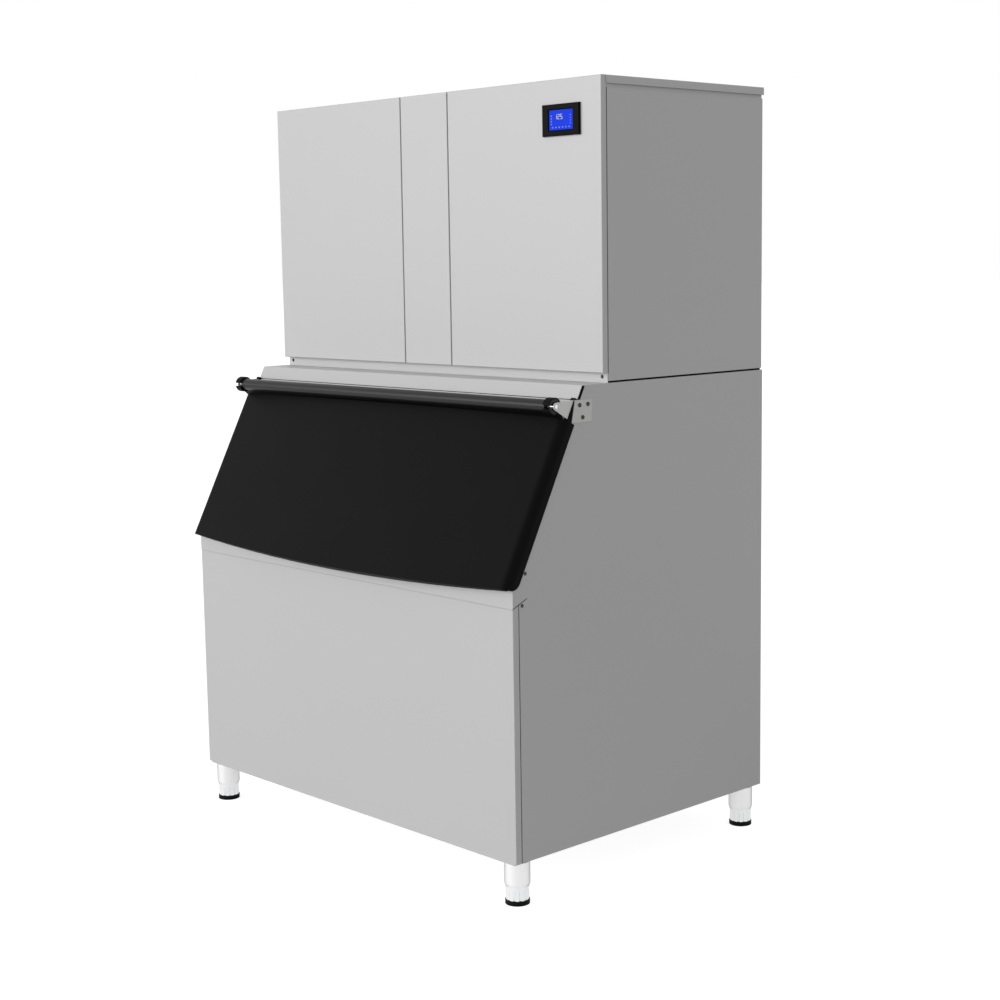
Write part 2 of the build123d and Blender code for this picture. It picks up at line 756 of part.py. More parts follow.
# Hinge ears: flat plates behind the side skins that carry the pins in front of the slope
with BuildPart() as hinge_ears:
    for low in (-HALF + SHEET, HALF - SHEET - EAR_THICK):
        with BuildSketch(facing_right(low)):
            with Locations((deep(HINGE_BACK), HINGE_Z)):
                Circle(EAR_R)
            with Locations(
                (deep((EAR_FRONT + PLATE_BACK) / 2), (PLATE_BOTTOM_Z + PLATE_TOP_Z) / 2)
            ):
                Rectangle(PLATE_BACK - EAR_FRONT, PLATE_TOP_Z - PLATE_BOTTOM_Z)
            make_hull()
            with Locations((deep(HINGE_BACK), HINGE_Z)):
                Circle(PIN_R, mode=Mode.SUBTRACT)
            with Locations(RIVET_PLACES):
                Circle(RIVET_R, mode=Mode.SUBTRACT)
        extrude(amount=EAR_THICK)
finish(hinge_ears.part, "hinge_ears")


# Outer hinge plates: riveted through the side skins to the ears
with BuildPart() as hinge_plates:
    for low in (-HALF - PLATE_THICK, HALF):
        with BuildSketch(facing_right(low)):
            with BuildLine():
                Polyline(
                    (deep(HINGE_BACK + PLATE_FRONT_TOP), PLATE_TOP_Z),
                    (deep(PLATE_BACK), PLATE_TOP_Z),
                    (deep(PLATE_BACK), PLATE_BOTTOM_Z),
                    (deep(HINGE_BACK + PLATE_FRONT_BOTTOM), PLATE_BOTTOM_Z),
                    close=True,
                )
            make_face()
            with Locations(RIVET_PLACES):
                Circle(RIVET_R, mode=Mode.SUBTRACT)
        extrude(amount=PLATE_THICK)
finish(hinge_plates.part, "hinge_plates")


# Rivets: a shank with a flat dome outside and a tail inside
with BuildPart() as hinge_rivets:
    for side in (-1, 1):
        tail_face = side * EAR_INNER
        outer_face = side * (HALF + PLATE_THICK)
        for radius, start, end in (
            (RIVET_TAIL_R, tail_face - side * RIVET_TAIL, tail_face),
            (RIVET_R, tail_face, outer_face),
            (RIVET_HEAD_R, outer_face, outer_face + side * RIVET_HEAD),
        ):
            with BuildSketch(facing_right(start)):
                with Locations(RIVET_PLACES):
                    Circle(radius)
            extrude(amount=end - start)
    head_rims = (
        hinge_rivets.edges()
        .filter_by(GeomType.CIRCLE)
        .filter_by(lambda rim: abs(rim.center().X) > HALF + PLATE_THICK + RIVET_HEAD / 2)
    )
    fillet(head_rims, radius=RIVET_HEAD * 0.6)
finish(hinge_rivets.part, "hinge_rivets")


# Hinge pins: pressed into the ears, running in the lugs of the door
PIN_RECESS = 1.0
with BuildPart() as hinge_pins:
    for side in (-1, 1):
        start = side * (BARREL_HALF + SEAT_GAP)
        end = side * (HALF - SHEET - PIN_RECESS)
        with BuildSketch(facing_right(start)):
            with Locations((deep(HINGE_BACK), HINGE_Z)):
                Circle(PIN_R)
        extrude(amount=end - start)
finish(hinge_pins.part, "hinge_pins")


# Door: a crowned shell with deep skirts, a curved bottom edge and a hinge barrel along its top.
# In its own sketches X runs along the hinge and Y stands out from the slope.

DOOR_PLANE = Plane(
    origin=(0, deep(HINGE_BACK), HINGE_Z),
    x_dir=(1, 0, 0),
    z_dir=(0, -cos(SLOPE_ANGLE), sin(SLOPE_ANGLE)),
)
DOWN_SLOPE = (0, -sin(SLOPE_ANGLE), -cos(SLOPE_ANGLE))


def across_door(down):
    """Plane across the door at a distance below the hinge axis, looking down the slope."""
    y, z = slope_point(down, 0)
    return Plane(origin=(0, y, z), x_dir=(1, 0, 0), z_dir=DOWN_SLOPE)


def door_bar(inset, rear, top):
    """The door's cross-section, inset by a wall and drawn down the slope from a given place."""
    half = HALF_DOOR - inset
    ends = -FACE_DROP - inset
    middle = ends + DOOR_CROWN
    with BuildPart() as bar:
        with BuildSketch(across_door(top)):
            with BuildLine():
                Polyline((-half, ends), (-half, -rear), (half, -rear), (half, ends))
                ThreePointArc((-half, ends), (0, middle), (half, ends))
            make_face()
        extrude(amount=3 * DOOR_LENGTH)
        side_edges = bar.edges().filter_by(lambda e: abs(e.center().X) > half - 1)
        face_edges = side_edges.filter_by(GeomType.LINE).filter_by(
            lambda e: abs(DOOR_PLANE.to_local_coords(e.center()).Z - ends) < 1
        )
        fillet(face_edges, radius=FACE_ROUND - inset)
    return bar.part


def door_block(inset, rear):
    """The door's outer form, inset by a wall, from its face back to a plane behind the hinge."""
    corners = -DOOR_LENGTH + inset
    wide = HALF_DOOR + FACE_ROUND
    with BuildPart() as block:
        add(door_bar(inset, rear, DOOR_TOP + inset))
        with BuildSketch(DOOR_PLANE):
            with BuildLine():
                Polyline((-wide, corners), (-wide, 0), (wide, 0), (wide, corners))
                ThreePointArc((-wide, corners), (0, corners - DOOR_SMILE), (wide, corners))
            make_face()
        extrude(amount=2 * rear, both=True, mode=Mode.INTERSECT)
    return block.part


def along_hinge(low):
    """Plane square to the hinge axis: local X runs down the slope, local Y runs inwards."""
    return Plane(
        origin=(low, deep(HINGE_BACK), HINGE_Z),
        x_dir=DOWN_SLOPE,
        z_dir=(1, 0, 0),
    )


LIP_DROP = SKIRT_DROP - SKIRT_CORNER
LINER_DROP = HINGE_OUT - EDGE_PROUD - SEAT_GAP
DOOR_LINER_WALL = 3.0
SNAP_WIDTH = 8.5          # slot that snaps over the pin


def door_slice(block, near, far):
    """The part of a block that lies between two distances behind the hinge axis."""
    with BuildPart() as piece:
        add(block)
        with BuildSketch(DOOR_PLANE.offset(-far)):
            Rectangle(4 * HALF_DOOR, 4 * DOOR_LENGTH)
        extrude(amount=far - near, mode=Mode.INTERSECT)
    return piece.part


door_cavity = door_block(DOOR_WALL, 2 * SKIRT_DROP)
with BuildPart() as door_shell:
    add(door_block(0.0, SKIRT_DROP))
    add(door_cavity, mode=Mode.SUBTRACT)
    # Behind the inner panel only the skirts go on, a little thinner.
    behind_panel = door_bar(SKIRT_WALL, 2 * SKIRT_DROP, -DOOR_LENGTH)
    add(door_slice(behind_panel, LINER_DROP, 2 * SKIRT_DROP), mode=Mode.SUBTRACT)
    # The skirts are rounded at their lower rear corners.
    with BuildSketch(along_hinge(-HALF_DOOR)):
        with BuildLine():
            Line((DOOR_LENGTH + SKIRT_DROP, LIP_DROP), (DOOR_LENGTH, LIP_DROP))
            CenterArc(
                (DOOR_LENGTH - SKIRT_CORNER, SKIRT_DROP - SKIRT_CORNER),
                SKIRT_CORNER,
                start_angle=0,
                arc_size=90,
            )
            Polyline(
                (DOOR_LENGTH - SKIRT_CORNER, SKIRT_DROP),
                (DOOR_LENGTH - SKIRT_CORNER, 2 * SKIRT_DROP),
                (DOOR_LENGTH + SKIRT_DROP, 2 * SKIRT_DROP),
                (DOOR_LENGTH + SKIRT_DROP, LIP_DROP),
            )
        make_face()
    extrude(amount=2 * HALF_DOOR, mode=Mode.SUBTRACT)
    # Barrel with a lug at each end, joined to the top wall by a neck.
    with BuildSketch(along_hinge(-BARREL_HALF)):
        Circle(BARREL_R)
    extrude(amount=2 * BARREL_HALF)
    for low in (-LUG_HALF, BARREL_HALF):
        with BuildSketch(along_hinge(low)):
            Circle(LUG_R)
        extrude(amount=LUG_LENGTH)
    with BuildSketch(along_hinge(-LUG_HALF)):
        with BuildLine():
            Polyline(
                (BARREL_R * 0.8, BARREL_R * 0.55),
                (BARREL_R * 0.1, BARREL_R * 0.95),
                (DOOR_TOP + DOOR_WALL / 2, LINER_DROP),
                (DOOR_TOP + DOOR_WALL / 2, FACE_DROP),
                close=True,
            )
        make_face()
    extrude(amount=2 * LUG_HALF)
    # Each lug snaps over its pin from the front.
    for low in (-LUG_HALF, BARREL_HALF):
        with BuildSketch(Plane.YZ.offset(low)):
            with Locations((deep(HINGE_BACK), HINGE_Z)):
                Circle(PIN_R + RUNNING_GAP)
            with Locations((deep(HINGE_BACK) - LUG_R, HINGE_Z)):
                Rectangle(2 * LUG_R, SNAP_WIDTH)
        extrude(amount=LUG_LENGTH, mode=Mode.SUBTRACT)
finish(door_shell.part, "door_shell")


# Inner panel of the door: a sheet that closes the shell
with BuildPart() as door_liner:
    add(door_slice(door_cavity, LINER_DROP - DOOR_LINER_WALL, LINER_DROP))
finish(door_liner.part, "door_liner")


# Foam filling between the shell and the inner panel
with BuildPart() as door_insulation:
    add(door_slice(door_cavity, 0, LINER_DROP - DOOR_LINER_WALL))
finish(door_insulation.part, "door_insulation")


# The ice-making head: a sheet cabinet on a base pan

# Black seal between bin and head
SEAL_WIDTH = 24.0
SEAL_INSET = 4.0


def ring(x, y, z, width):
    """A flat ring whose outer edge lies on the given lines."""
    box(x, y, z)
    box(
        (x[0] + width, x[1] - width),
        (y[0] + width, y[1] - width),
        z,
        mode=Mode.SUBTRACT,
    )


with BuildPart() as head_seal:
    ring(
        (-HALF + SEAL_INSET, HALF - SEAL_INSET),
        (HEAD_FRAME_Y + SEAL_INSET, BACK - SEAL_INSET),
        (BIN_TOP_Z, HEAD_Z),
        SEAL_WIDTH,
    )
finish(head_seal.part, "head_seal")


# Base pan of the head: a tray whose front upstand is the visible rail and hides the seal
BASE_HALF = HEAD_HALF - SHEET
BASE_WALL = 2.0
with BuildPart() as head_base:
    box((-BASE_HALF, BASE_HALF), (HEAD_FRAME_Y, HEAD_FRAME_Y + BASE_WALL), (BIN_TOP_Z, HEAD_Z))
    box((-BASE_HALF, BASE_HALF), (HEAD_FRAME_Y, BACK - SHEET), (HEAD_Z, PANEL_Z))
    box(
        (-BASE_HALF + BASE_WALL, BASE_HALF - BASE_WALL),
        (HEAD_FRAME_Y + BASE_WALL, BACK - SHEET - BASE_WALL),
        (HEAD_Z + BASE_WALL, PANEL_Z),
        mode=Mode.SUBTRACT,
    )
    box(
        (DROP_LEFT, DROP_RIGHT),
        (deep(DROP_FRONT), deep(DROP_BACK)),
        (HEAD_Z, PANEL_Z),
        mode=Mode.SUBTRACT,
    )
    screw_holes(facing_front(HEAD_FRAME_Y), RAIL_PLACES)
finish(head_base.part, "head_base")


# Head sides: sheets with a front return, a shadow recess and a joggle under the cap
SIDE_RETURN = 14.0
RECESS_Z = CAP_Z - RECESS_HEIGHT
UNDER_CAP = 10.0          # overlap of the side behind the cap's flange


def head_side(side, label):
    outer = side * HEAD_HALF
    step = side * (HEAD_HALF - RECESS_DEPTH)
    thick = side * SHEET
    front = HEAD_FRAME_Y + PANEL_GAP
    with BuildPart() as skin:
        with BuildSketch(facing_front(BACK - SHEET)):
            with BuildLine():
                Polyline(
                    (outer, HEAD_Z),
                    (outer, RECESS_Z),
                    (step, RECESS_Z),
                    (step, CAP_Z + UNDER_CAP),
                    (step - thick, CAP_Z + UNDER_CAP),
                    (step - thick, RECESS_Z - SHEET),
                    (outer - thick, RECESS_Z - SHEET),
                    (outer - thick, HEAD_Z),
                    close=True,
                )
            make_face()
        extrude(amount=BACK - SHEET - front)
        box(
            sorted((outer - thick, outer - side * SIDE_RETURN)),
            (front, front + SHEET),
            (PANEL_Z, RECESS_Z - SHEET),
        )
    finish(skin.part, label)


head_side(-1, "head_side_left")
head_side(1, "head_side_right")


# Cap: a shallow lid with a flange on the sides and the back
with BuildPart() as head_cap:
    box((-HALF, HALF), (HEAD_FRAME_Y, BACK + HEAD_SIDE_INSET), (CAP_Z, HEAD_TOP_Z))
    fillet(
        head_cap.edges().group_by(Axis.Z)[-1].filter_by(Axis.Y),
        radius=BEND,
    )
    box(
        (-HALF + SHEET, HALF - SHEET),
        (HEAD_FRAME_Y + SHEET, BACK + HEAD_SIDE_INSET - SHEET),
        (CAP_Z, HEAD_TOP_Z - SHEET),
        mode=Mode.SUBTRACT,
    )
finish(head_cap.part, "head_cap")


# Frame of the head: corner posts with rails under the cap, welded into one piece
POST = 20.0
FRAME_HALF = HEAD_HALF - SIDE_RETURN - SEAT_GAP
FRAME_FRONT = HEAD_FRAME_Y + PANEL_GAP + SHEET
FRAME_BACK = BACK - SHEET - BASE_WALL
FRAME_TOP_Z = RECESS_Z - SHEET
with BuildPart() as head_frame:
    for post_y in (FRAME_FRONT, FRAME_BACK - POST):
        for post_x in (-FRAME_HALF, FRAME_HALF - POST):
            box((post_x, post_x + POST), (post_y, post_y + POST), (HEAD_Z + BASE_WALL, FRAME_TOP_Z))
        box(
            (-FRAME_HALF, FRAME_HALF),
            (post_y, post_y + POST),
            (FRAME_TOP_Z - POST, FRAME_TOP_Z),
        )
    for rail_x in (-FRAME_HALF, FRAME_HALF - POST):
        box(
            (rail_x, rail_x + POST),
            (FRAME_FRONT, FRAME_BACK),
            (FRAME_TOP_Z - POST, FRAME_TOP_Z),
        )
    # Two slim bars stand behind the seams of the front panels.
    for seam_x in (-CENTRE_STRIP / 2, CENTRE_STRIP / 2):
        box(
            (seam_x - POST / 2, seam_x + POST / 2),
            (FRAME_FRONT, FRAME_FRONT + POST / 2),
            (HEAD_Z + BASE_WALL, FRAME_TOP_Z),
        )
    screw_holes(facing_front(HEAD_FRAME_Y), RAIL_PLACES)
finish(head_frame.part, "head_frame")


def pan(x, label, window=None):
    """Front panel of the head: a shallow pan with rounded bends, open at the back."""
    with BuildPart() as panel:
        box(x, (HEAD_FACE, HEAD_FRAME_Y), (PANEL_Z, HEAD_TOP_Z))
        fillet(panel.faces().sort_by(Axis.Y)[0].edges(), radius=BEND)
        box(
            (x[0] + SHEET, x[1] - SHEET),
            (HEAD_FACE + SHEET, HEAD_FRAME_Y),
            (PANEL_Z + SHEET, HEAD_TOP_Z - SHEET),
            mode=Mode.SUBTRACT,
        )
        if window:
            with BuildSketch(facing_front(HEAD_FACE)):
                with Locations((DISPLAY_X, DISPLAY_Z)):
                    Rectangle(*window)
            extrude(amount=-SHEET, mode=Mode.SUBTRACT)
    finish(panel.part, label)


WINDOW_INSET = 4.0        # bezel flange around its cut-out
SEAM_X = CENTRE_STRIP / 2
pan((-HEAD_HALF, -SEAM_X - PANEL_GAP / 2), "front_panel_left")
pan((-SEAM_X + PANEL_GAP / 2, SEAM_X - PANEL_GAP / 2), "front_panel_centre")
pan(
    (SEAM_X + PANEL_GAP / 2, HEAD_HALF),
    "front_panel_right",
    (BEZEL_WIDTH - 2 * WINDOW_INSET, BEZEL_HEIGHT - 2 * WINDOW_INSET),
)


# Display: a black bezel with a sloping frame, and the screen behind it
BEZEL_BODY = 12.0         # bezel depth behind the panel
SCREEN_THICK = 3.0
SCREEN_SUNK = 2.5         # screen face behind the front of the bezel
with BuildPart() as display_bezel:
    with BuildSketch(facing_front(HEAD_FACE)):
        with Locations((DISPLAY_X, DISPLAY_Z)):
            Rectangle(BEZEL_WIDTH, BEZEL_HEIGHT)
    extrude(amount=BEZEL_PROUD)
    fillet(display_bezel.faces().sort_by(Axis.Y)[0].edges(), radius=BEND)
    with BuildSketch(facing_front(HEAD_FACE)):
        with Locations((DISPLAY_X, DISPLAY_Z)):
            Rectangle(BEZEL_WIDTH - 2 * WINDOW_INSET, BEZEL_HEIGHT - 2 * WINDOW_INSET)
    extrude(amount=-BEZEL_BODY)
    # Sloping window down to the screen, then a straight pocket that holds it.
    with BuildSketch(facing_front(HEAD_FACE - BEZEL_PROUD)):
        with Locations((DISPLAY_X, DISPLAY_Z)):
            Rectangle(SCREEN_WIDTH + 2 * SCREEN_SUNK, SCREEN_HEIGHT + 2 * SCREEN_SUNK)
    extrude(amount=-SCREEN_SUNK, taper=45, mode=Mode.SUBTRACT)
    with BuildSketch(facing_front(HEAD_FACE - BEZEL_PROUD + SCREEN_SUNK)):
        with Locations((DISPLAY_X, DISPLAY_Z)):
            Rectangle(SCREEN_WIDTH, SCREEN_HEIGHT)
    extrude(amount=-BEZEL_BODY - BEZEL_PROUD, mode=Mode.SUBTRACT)
finish(display_bezel.part, "display_bezel")

with BuildPart() as display_screen:
    with BuildSketch(facing_front(HEAD_FACE - BEZEL_PROUD + SCREEN_SUNK)):
        with Locations((DISPLAY_X, DISPLAY_Z)):
            Rectangle(SCREEN_WIDTH, SCREEN_HEIGHT)
    extrude(amount=-SCREEN_THICK)
finish(display_screen.part, "display_screen")


# Back panel of the head with two banks of hooded air slots
LOUVRE_ROWS = 9
LOUVRE_PITCH = 26.0
LOUVRE_WIDTH = 200.0
LOUVRE_SLOT = 10.0
LOUVRE_HOOD = 7.0
LOUVRE_Z = HEAD_Z + 242.5
LOUVRE_COLUMNS = (HALF - 385.0, HALF - 140.0)
LOUVRE_PLACES = [
    (x, LOUVRE_Z + row * LOUVRE_PITCH) for x in LOUVRE_COLUMNS for row in range(LOUVRE_ROWS)
]
FITTING_INSET = 110.0
FITTING_Z = HEAD_Z + 62.5
WATER_X = -HALF + FITTING_INSET
WATER_R = 10.4
GLAND_X = HALF - FITTING_INSET
GLAND_R = 11.0
with BuildPart() as head_back:
    box((-BASE_HALF, BASE_HALF), (BACK - SHEET, BACK), (HEAD_Z, RECESS_Z))
    with BuildSketch(facing_front(BACK)):
        with Locations(LOUVRE_PLACES):
            Rectangle(LOUVRE_WIDTH, LOUVRE_SLOT)
        with Locations((WATER_X, FITTING_Z)):
            Circle(WATER_R)
        with Locations((GLAND_X, FITTING_Z)):
            Circle(GLAND_R)
    extrude(amount=SHEET, mode=Mode.SUBTRACT)
    for louvre_x, louvre_z in LOUVRE_PLACES:
        with BuildSketch(facing_right(louvre_x - LOUVRE_WIDTH / 2)):
            with BuildLine():
                Polyline(
                    (BACK, louvre_z + LOUVRE_SLOT / 2 + SHEET),
                    (BACK + LOUVRE_HOOD, louvre_z - LOUVRE_SLOT / 2 + SHEET),
                    (BACK + LOUVRE_HOOD, louvre_z - LOUVRE_SLOT / 2),
                    (BACK, louvre_z + LOUVRE_SLOT / 2),
                    close=True,
                )
            make_face()
        extrude(amount=LOUVRE_WIDTH)
finish(head_back.part, "head_back")


# Water inlet and power gland on the back
FITTING_REACH = 16.0
FITTING_INSIDE = 20.0
FITTING_COLLAR = 3.0


def fitting(x, z, outer_r, bore_r, collar_r, label):
    """Threaded fitting through the back panel with a collar outside."""
    with BuildPart() as body:
        with BuildSketch(facing_front(BACK + FITTING_REACH)):
            with Locations((x, z)):
                Circle(outer_r)
        extrude(amount=FITTING_REACH + FITTING_INSIDE)
        with BuildSketch(facing_front(BACK + FITTING_COLLAR)):
            with Locations((x, z)):
                RegularPolygon(collar_r, 6)
        extrude(amount=FITTING_COLLAR)
        with BuildSketch(facing_front(BACK + FITTING_REACH)):
            with Locations((x, z)):
                Circle(bore_r)
        extrude(amount=FITTING_REACH + FITTING_INSIDE, mode=Mode.SUBTRACT)
    finish(body.part, label)


fitting(WATER_X, FITTING_Z, WATER_R, 6.0, 16.0, "water_inlet")
fitting(GLAND_X, FITTING_Z, GLAND_R, 6.5, 16.0, "power_gland")


# Screws with round heads
with BuildPart() as cabinet_screws:
    round_screws(facing_right(HALF), SIDE_PLACES)
    round_screws(facing_left(-HALF), LEFT_SIDE_PLACES)
    round_screws(facing_front(HEAD_FRAME_Y), RAIL_PLACES)
finish(cabinet_screws.part, "cabinet_screws")


# Inside the head: the ice-making side on the left, the machine side on the right
FLOOR_Z = HEAD_Z + BASE_WALL
CEILING_Z = FRAME_TOP_Z - POST
EVAPORATOR_WIDTH = 290.0
EVAPORATOR_INSET = 18.0   # from the left side of the head
EVAPORATOR_GAP = 28.0
PUMP_BAY = 74.0           # from the right evaporator to the partition
EVAPORATOR_LEFT = -HEAD_HALF + EVAPORATOR_INSET
EVAPORATOR_LEFTS = (EVAPORATOR_LEFT, EVAPORATOR_LEFT + EVAPORATOR_WIDTH + EVAPORATOR_GAP)
PARTITION_X = EVAPORATOR_LEFTS[1] + EVAPORATOR_WIDTH + PUMP_BAY
WALL_BACK = HEAD_SETBACK + 324.0   # wall behind the evaporators
WALL_THICK = 6.0
FRAME_BAR = POST / 2
TROUGH_Z = FLOOR_Z + 48.5
TROUGH_HEIGHT = 72.0
TROUGH_TOP_Z = TROUGH_Z + TROUGH_HEIGHT
EVAPORATOR_Z = TROUGH_TOP_Z + 30.0
EVAPORATOR_HEADROOM = 78.8
EVAPORATOR_HEIGHT = CEILING_Z - EVAPORATOR_HEADROOM - EVAPORATOR_Z
PIPE_R = 5.0
PIPE_HOLE_Z = EVAPORATOR_Z + 70.0
SUCTION_Y = deep(WALL_BACK) - 2 * PIPE_R

# Moulded bulkhead: the wall behind the evaporators and the partition to the machine side
with BuildPart() as bulkhead:
    box(
        (-BASE_HALF + BASE_WALL, PARTITION_X),
        (deep(WALL_BACK), deep(WALL_BACK) + WALL_THICK),
        (FLOOR_Z, CEILING_Z),
    )
    box(
        (PARTITION_X, PARTITION_X + WALL_THICK),
        (FRAME_FRONT + FRAME_BAR, deep(WALL_BACK) + WALL_THICK),
        (FLOOR_Z, CEILING_Z),
    )
    with BuildSketch(facing_right(PARTITION_X)):
        with Locations((SUCTION_Y, PIPE_HOLE_Z)):
            Circle(PIPE_R + SEAT_GAP)
    extrude(amount=WALL_THICK, mode=Mode.SUBTRACT)
finish(bulkhead.part, "bulkhead")


# Evaporators: plates of open ice cells with a coil soldered to the back and four standoffs
EVAPORATOR_BACK = WALL_BACK - 36.0
CELL_DEPTH = 22.0
CELL_PITCH = 28.8
CELL_COLUMNS = int(EVAPORATOR_WIDTH / CELL_PITCH)
CELL_ROWS = int(EVAPORATOR_HEIGHT / CELL_PITCH)
CELL_WALL = 1.8
EVAPORATOR_PLATE = 2.0
COIL_RUNS = 6
COIL_EDGE = 38.0          # lowest and highest run from the plate's edges
COIL_PITCH = (EVAPORATOR_HEIGHT - 2 * COIL_EDGE) / (COIL_RUNS - 1)
COIL_INSET = 25.0
STANDOFF_R = 6.0
EVAPORATOR_TOP_Z = EVAPORATOR_Z + EVAPORATOR_HEIGHT


def coil_path(left):
    """Corners of the winding coil behind an evaporator."""
    right = left + EVAPORATOR_WIDTH
    y = deep(EVAPORATOR_BACK) + PIPE_R - EVAPORATOR_PLATE / 2
    corners = []
    for run in range(COIL_RUNS):
        z = EVAPORATOR_Z + COIL_EDGE + run * COIL_PITCH
        ends = [(left + COIL_INSET, y, z), (right - COIL_INSET, y, z)]
        corners += ends if run % 2 else ends[::-1]
    return corners


def evaporator(left, label):
    middle_x = left + EVAPORATOR_WIDTH / 2
    middle_z = EVAPORATOR_Z + EVAPORATOR_HEIGHT / 2
    back = deep(EVAPORATOR_BACK)
    front = back - EVAPORATOR_PLATE - CELL_DEPTH
    coil = pipe(coil_path(left), PIPE_R, COIL_PITCH / 2 - 1)
    with BuildPart() as plate:
        box(
            (left, left + EVAPORATOR_WIDTH),
            (front, back),
            (EVAPORATOR_Z, EVAPORATOR_TOP_Z),
        )
        with BuildSketch(facing_front(front)):
            with Locations((middle_x, middle_z)):
                with GridLocations(CELL_PITCH, CELL_PITCH, CELL_COLUMNS, CELL_ROWS):
                    Rectangle(CELL_PITCH - CELL_WALL, CELL_PITCH - CELL_WALL)
        extrude(amount=-CELL_DEPTH, mode=Mode.SUBTRACT)
        with BuildSketch(facing_front(deep(WALL_BACK))):
            with Locations((middle_x, middle_z)):
                with GridLocations(
                    EVAPORATOR_WIDTH - 2 * STANDOFF_R,
                    EVAPORATOR_HEIGHT - 2 * STANDOFF_R,
                    2,
                    2,
                ):
                    Circle(STANDOFF_R)
        extrude(amount=WALL_BACK - EVAPORATOR_BACK)
        add(coil)
    finish(plate.part, label)


evaporator(EVAPORATOR_LEFTS[0], "evaporator_left")
evaporator(EVAPORATOR_LEFTS[1], "evaporator_right")


# Water tubes that lie along the tops of the evaporators and wet them through a row of holes
WATER_TUBE_R = 12.0
WATER_TUBE_BORE = 10.0
WATER_HOLES = 8
with BuildPart() as water_tubes:
    tube_y = deep(EVAPORATOR_BACK) - EVAPORATOR_PLATE - CELL_DEPTH / 2
    tube_z = EVAPORATOR_TOP_Z + WATER_TUBE_R
    for left in EVAPORATOR_LEFTS:
        with BuildSketch(facing_right(left)):
            with Locations((tube_y, tube_z)):
                Circle(WATER_TUBE_R)
        extrude(amount=EVAPORATOR_WIDTH)
        with BuildSketch(facing_right(left + WATER_TUBE_R)):
            with Locations((tube_y, tube_z)):
                Circle(WATER_TUBE_BORE)
        extrude(amount=EVAPORATOR_WIDTH, mode=Mode.SUBTRACT)
        with BuildSketch(facing_front(tube_y - 2 * WATER_TUBE_R)):
            with Locations((left + EVAPORATOR_WIDTH / 2, tube_z)):
                with GridLocations(EVAPORATOR_WIDTH / (WATER_HOLES + 1), 1, WATER_HOLES, 1):
                    Circle(WATER_TUBE_R / 6)
        extrude(amount=-2 * WATER_TUBE_R, mode=Mode.SUBTRACT)
finish(water_tubes.part, "water_tubes")


# Swinging ice curtains on one rod in front of the evaporators
ROD_R = 3.0
ROD_BACK = EVAPORATOR_BACK - 52.0
ROD_Z = EVAPORATOR_TOP_Z + 30.0
CURTAIN_BOTTOM_Z = TROUGH_TOP_Z - 8.0
CURTAIN_WALL = 2.5
CURTAIN_OVERHANG = 6.0
CURTAIN_LIP = 14.0
KNUCKLE_R = 6.5

with BuildPart() as curtain_rod:
    with BuildSketch(facing_right(-HEAD_HALF + SHEET)):
        with Locations((deep(ROD_BACK), ROD_Z)):
            Circle(ROD_R)
    extrude(amount=HEAD_HALF - SHEET + PARTITION_X)
finish(curtain_rod.part, "curtain_rod")


def curtain(left, label):
    """Moulded sheet with a knuckle round the rod and a forward lip along its lower edge."""
    with BuildPart() as sheet:
        with BuildSketch(facing_right(left - CURTAIN_OVERHANG)):
            with Locations((deep(ROD_BACK), ROD_Z)):
                Circle(KNUCKLE_R)
            with Locations((deep(ROD_BACK), (CURTAIN_BOTTOM_Z + ROD_Z) / 2)):
                Rectangle(CURTAIN_WALL, ROD_Z - CURTAIN_BOTTOM_Z)
            with Locations((deep(ROD_BACK) - CURTAIN_LIP / 2, CURTAIN_BOTTOM_Z + CURTAIN_WALL / 2)):
                Rectangle(CURTAIN_LIP, CURTAIN_WALL)
            with Locations((deep(ROD_BACK), ROD_Z)):
                Circle(ROD_R + RUNNING_GAP, mode=Mode.SUBTRACT)
        extrude(amount=EVAPORATOR_WIDTH + 2 * CURTAIN_OVERHANG)
    finish(sheet.part, label)


curtain(EVAPORATOR_LEFTS[0], "curtain_left")
curtain(EVAPORATOR_LEFTS[1], "curtain_right")


# Water trough below the evaporators and the pump at its right end
TROUGH_FRONT = WALL_BACK - 79.0
TROUGH_WALL = 3.0
TROUGH_END_GAP = 8.0
with BuildPart() as water_trough:
    trough_x = (-HEAD_HALF + SHEET + TROUGH_END_GAP, PARTITION_X - TROUGH_END_GAP)
    box(trough_x, (deep(TROUGH_FRONT), deep(WALL_BACK)), (TROUGH_Z, TROUGH_TOP_Z))
    fillet(
        water_trough.edges().group_by(Axis.Z)[0].filter_by(Axis.X).sort_by(Axis.Y)[0],
        radius=5 * TROUGH_WALL,
    )
    box(
        (trough_x[0] + TROUGH_WALL, trough_x[1] - TROUGH_WALL),
        (deep(TROUGH_FRONT) + TROUGH_WALL, deep(WALL_BACK) - TROUGH_WALL),
        (TROUGH_Z + 2 * TROUGH_WALL, TROUGH_TOP_Z),
        mode=Mode.SUBTRACT,
    )
finish(water_trough.part, "water_trough")

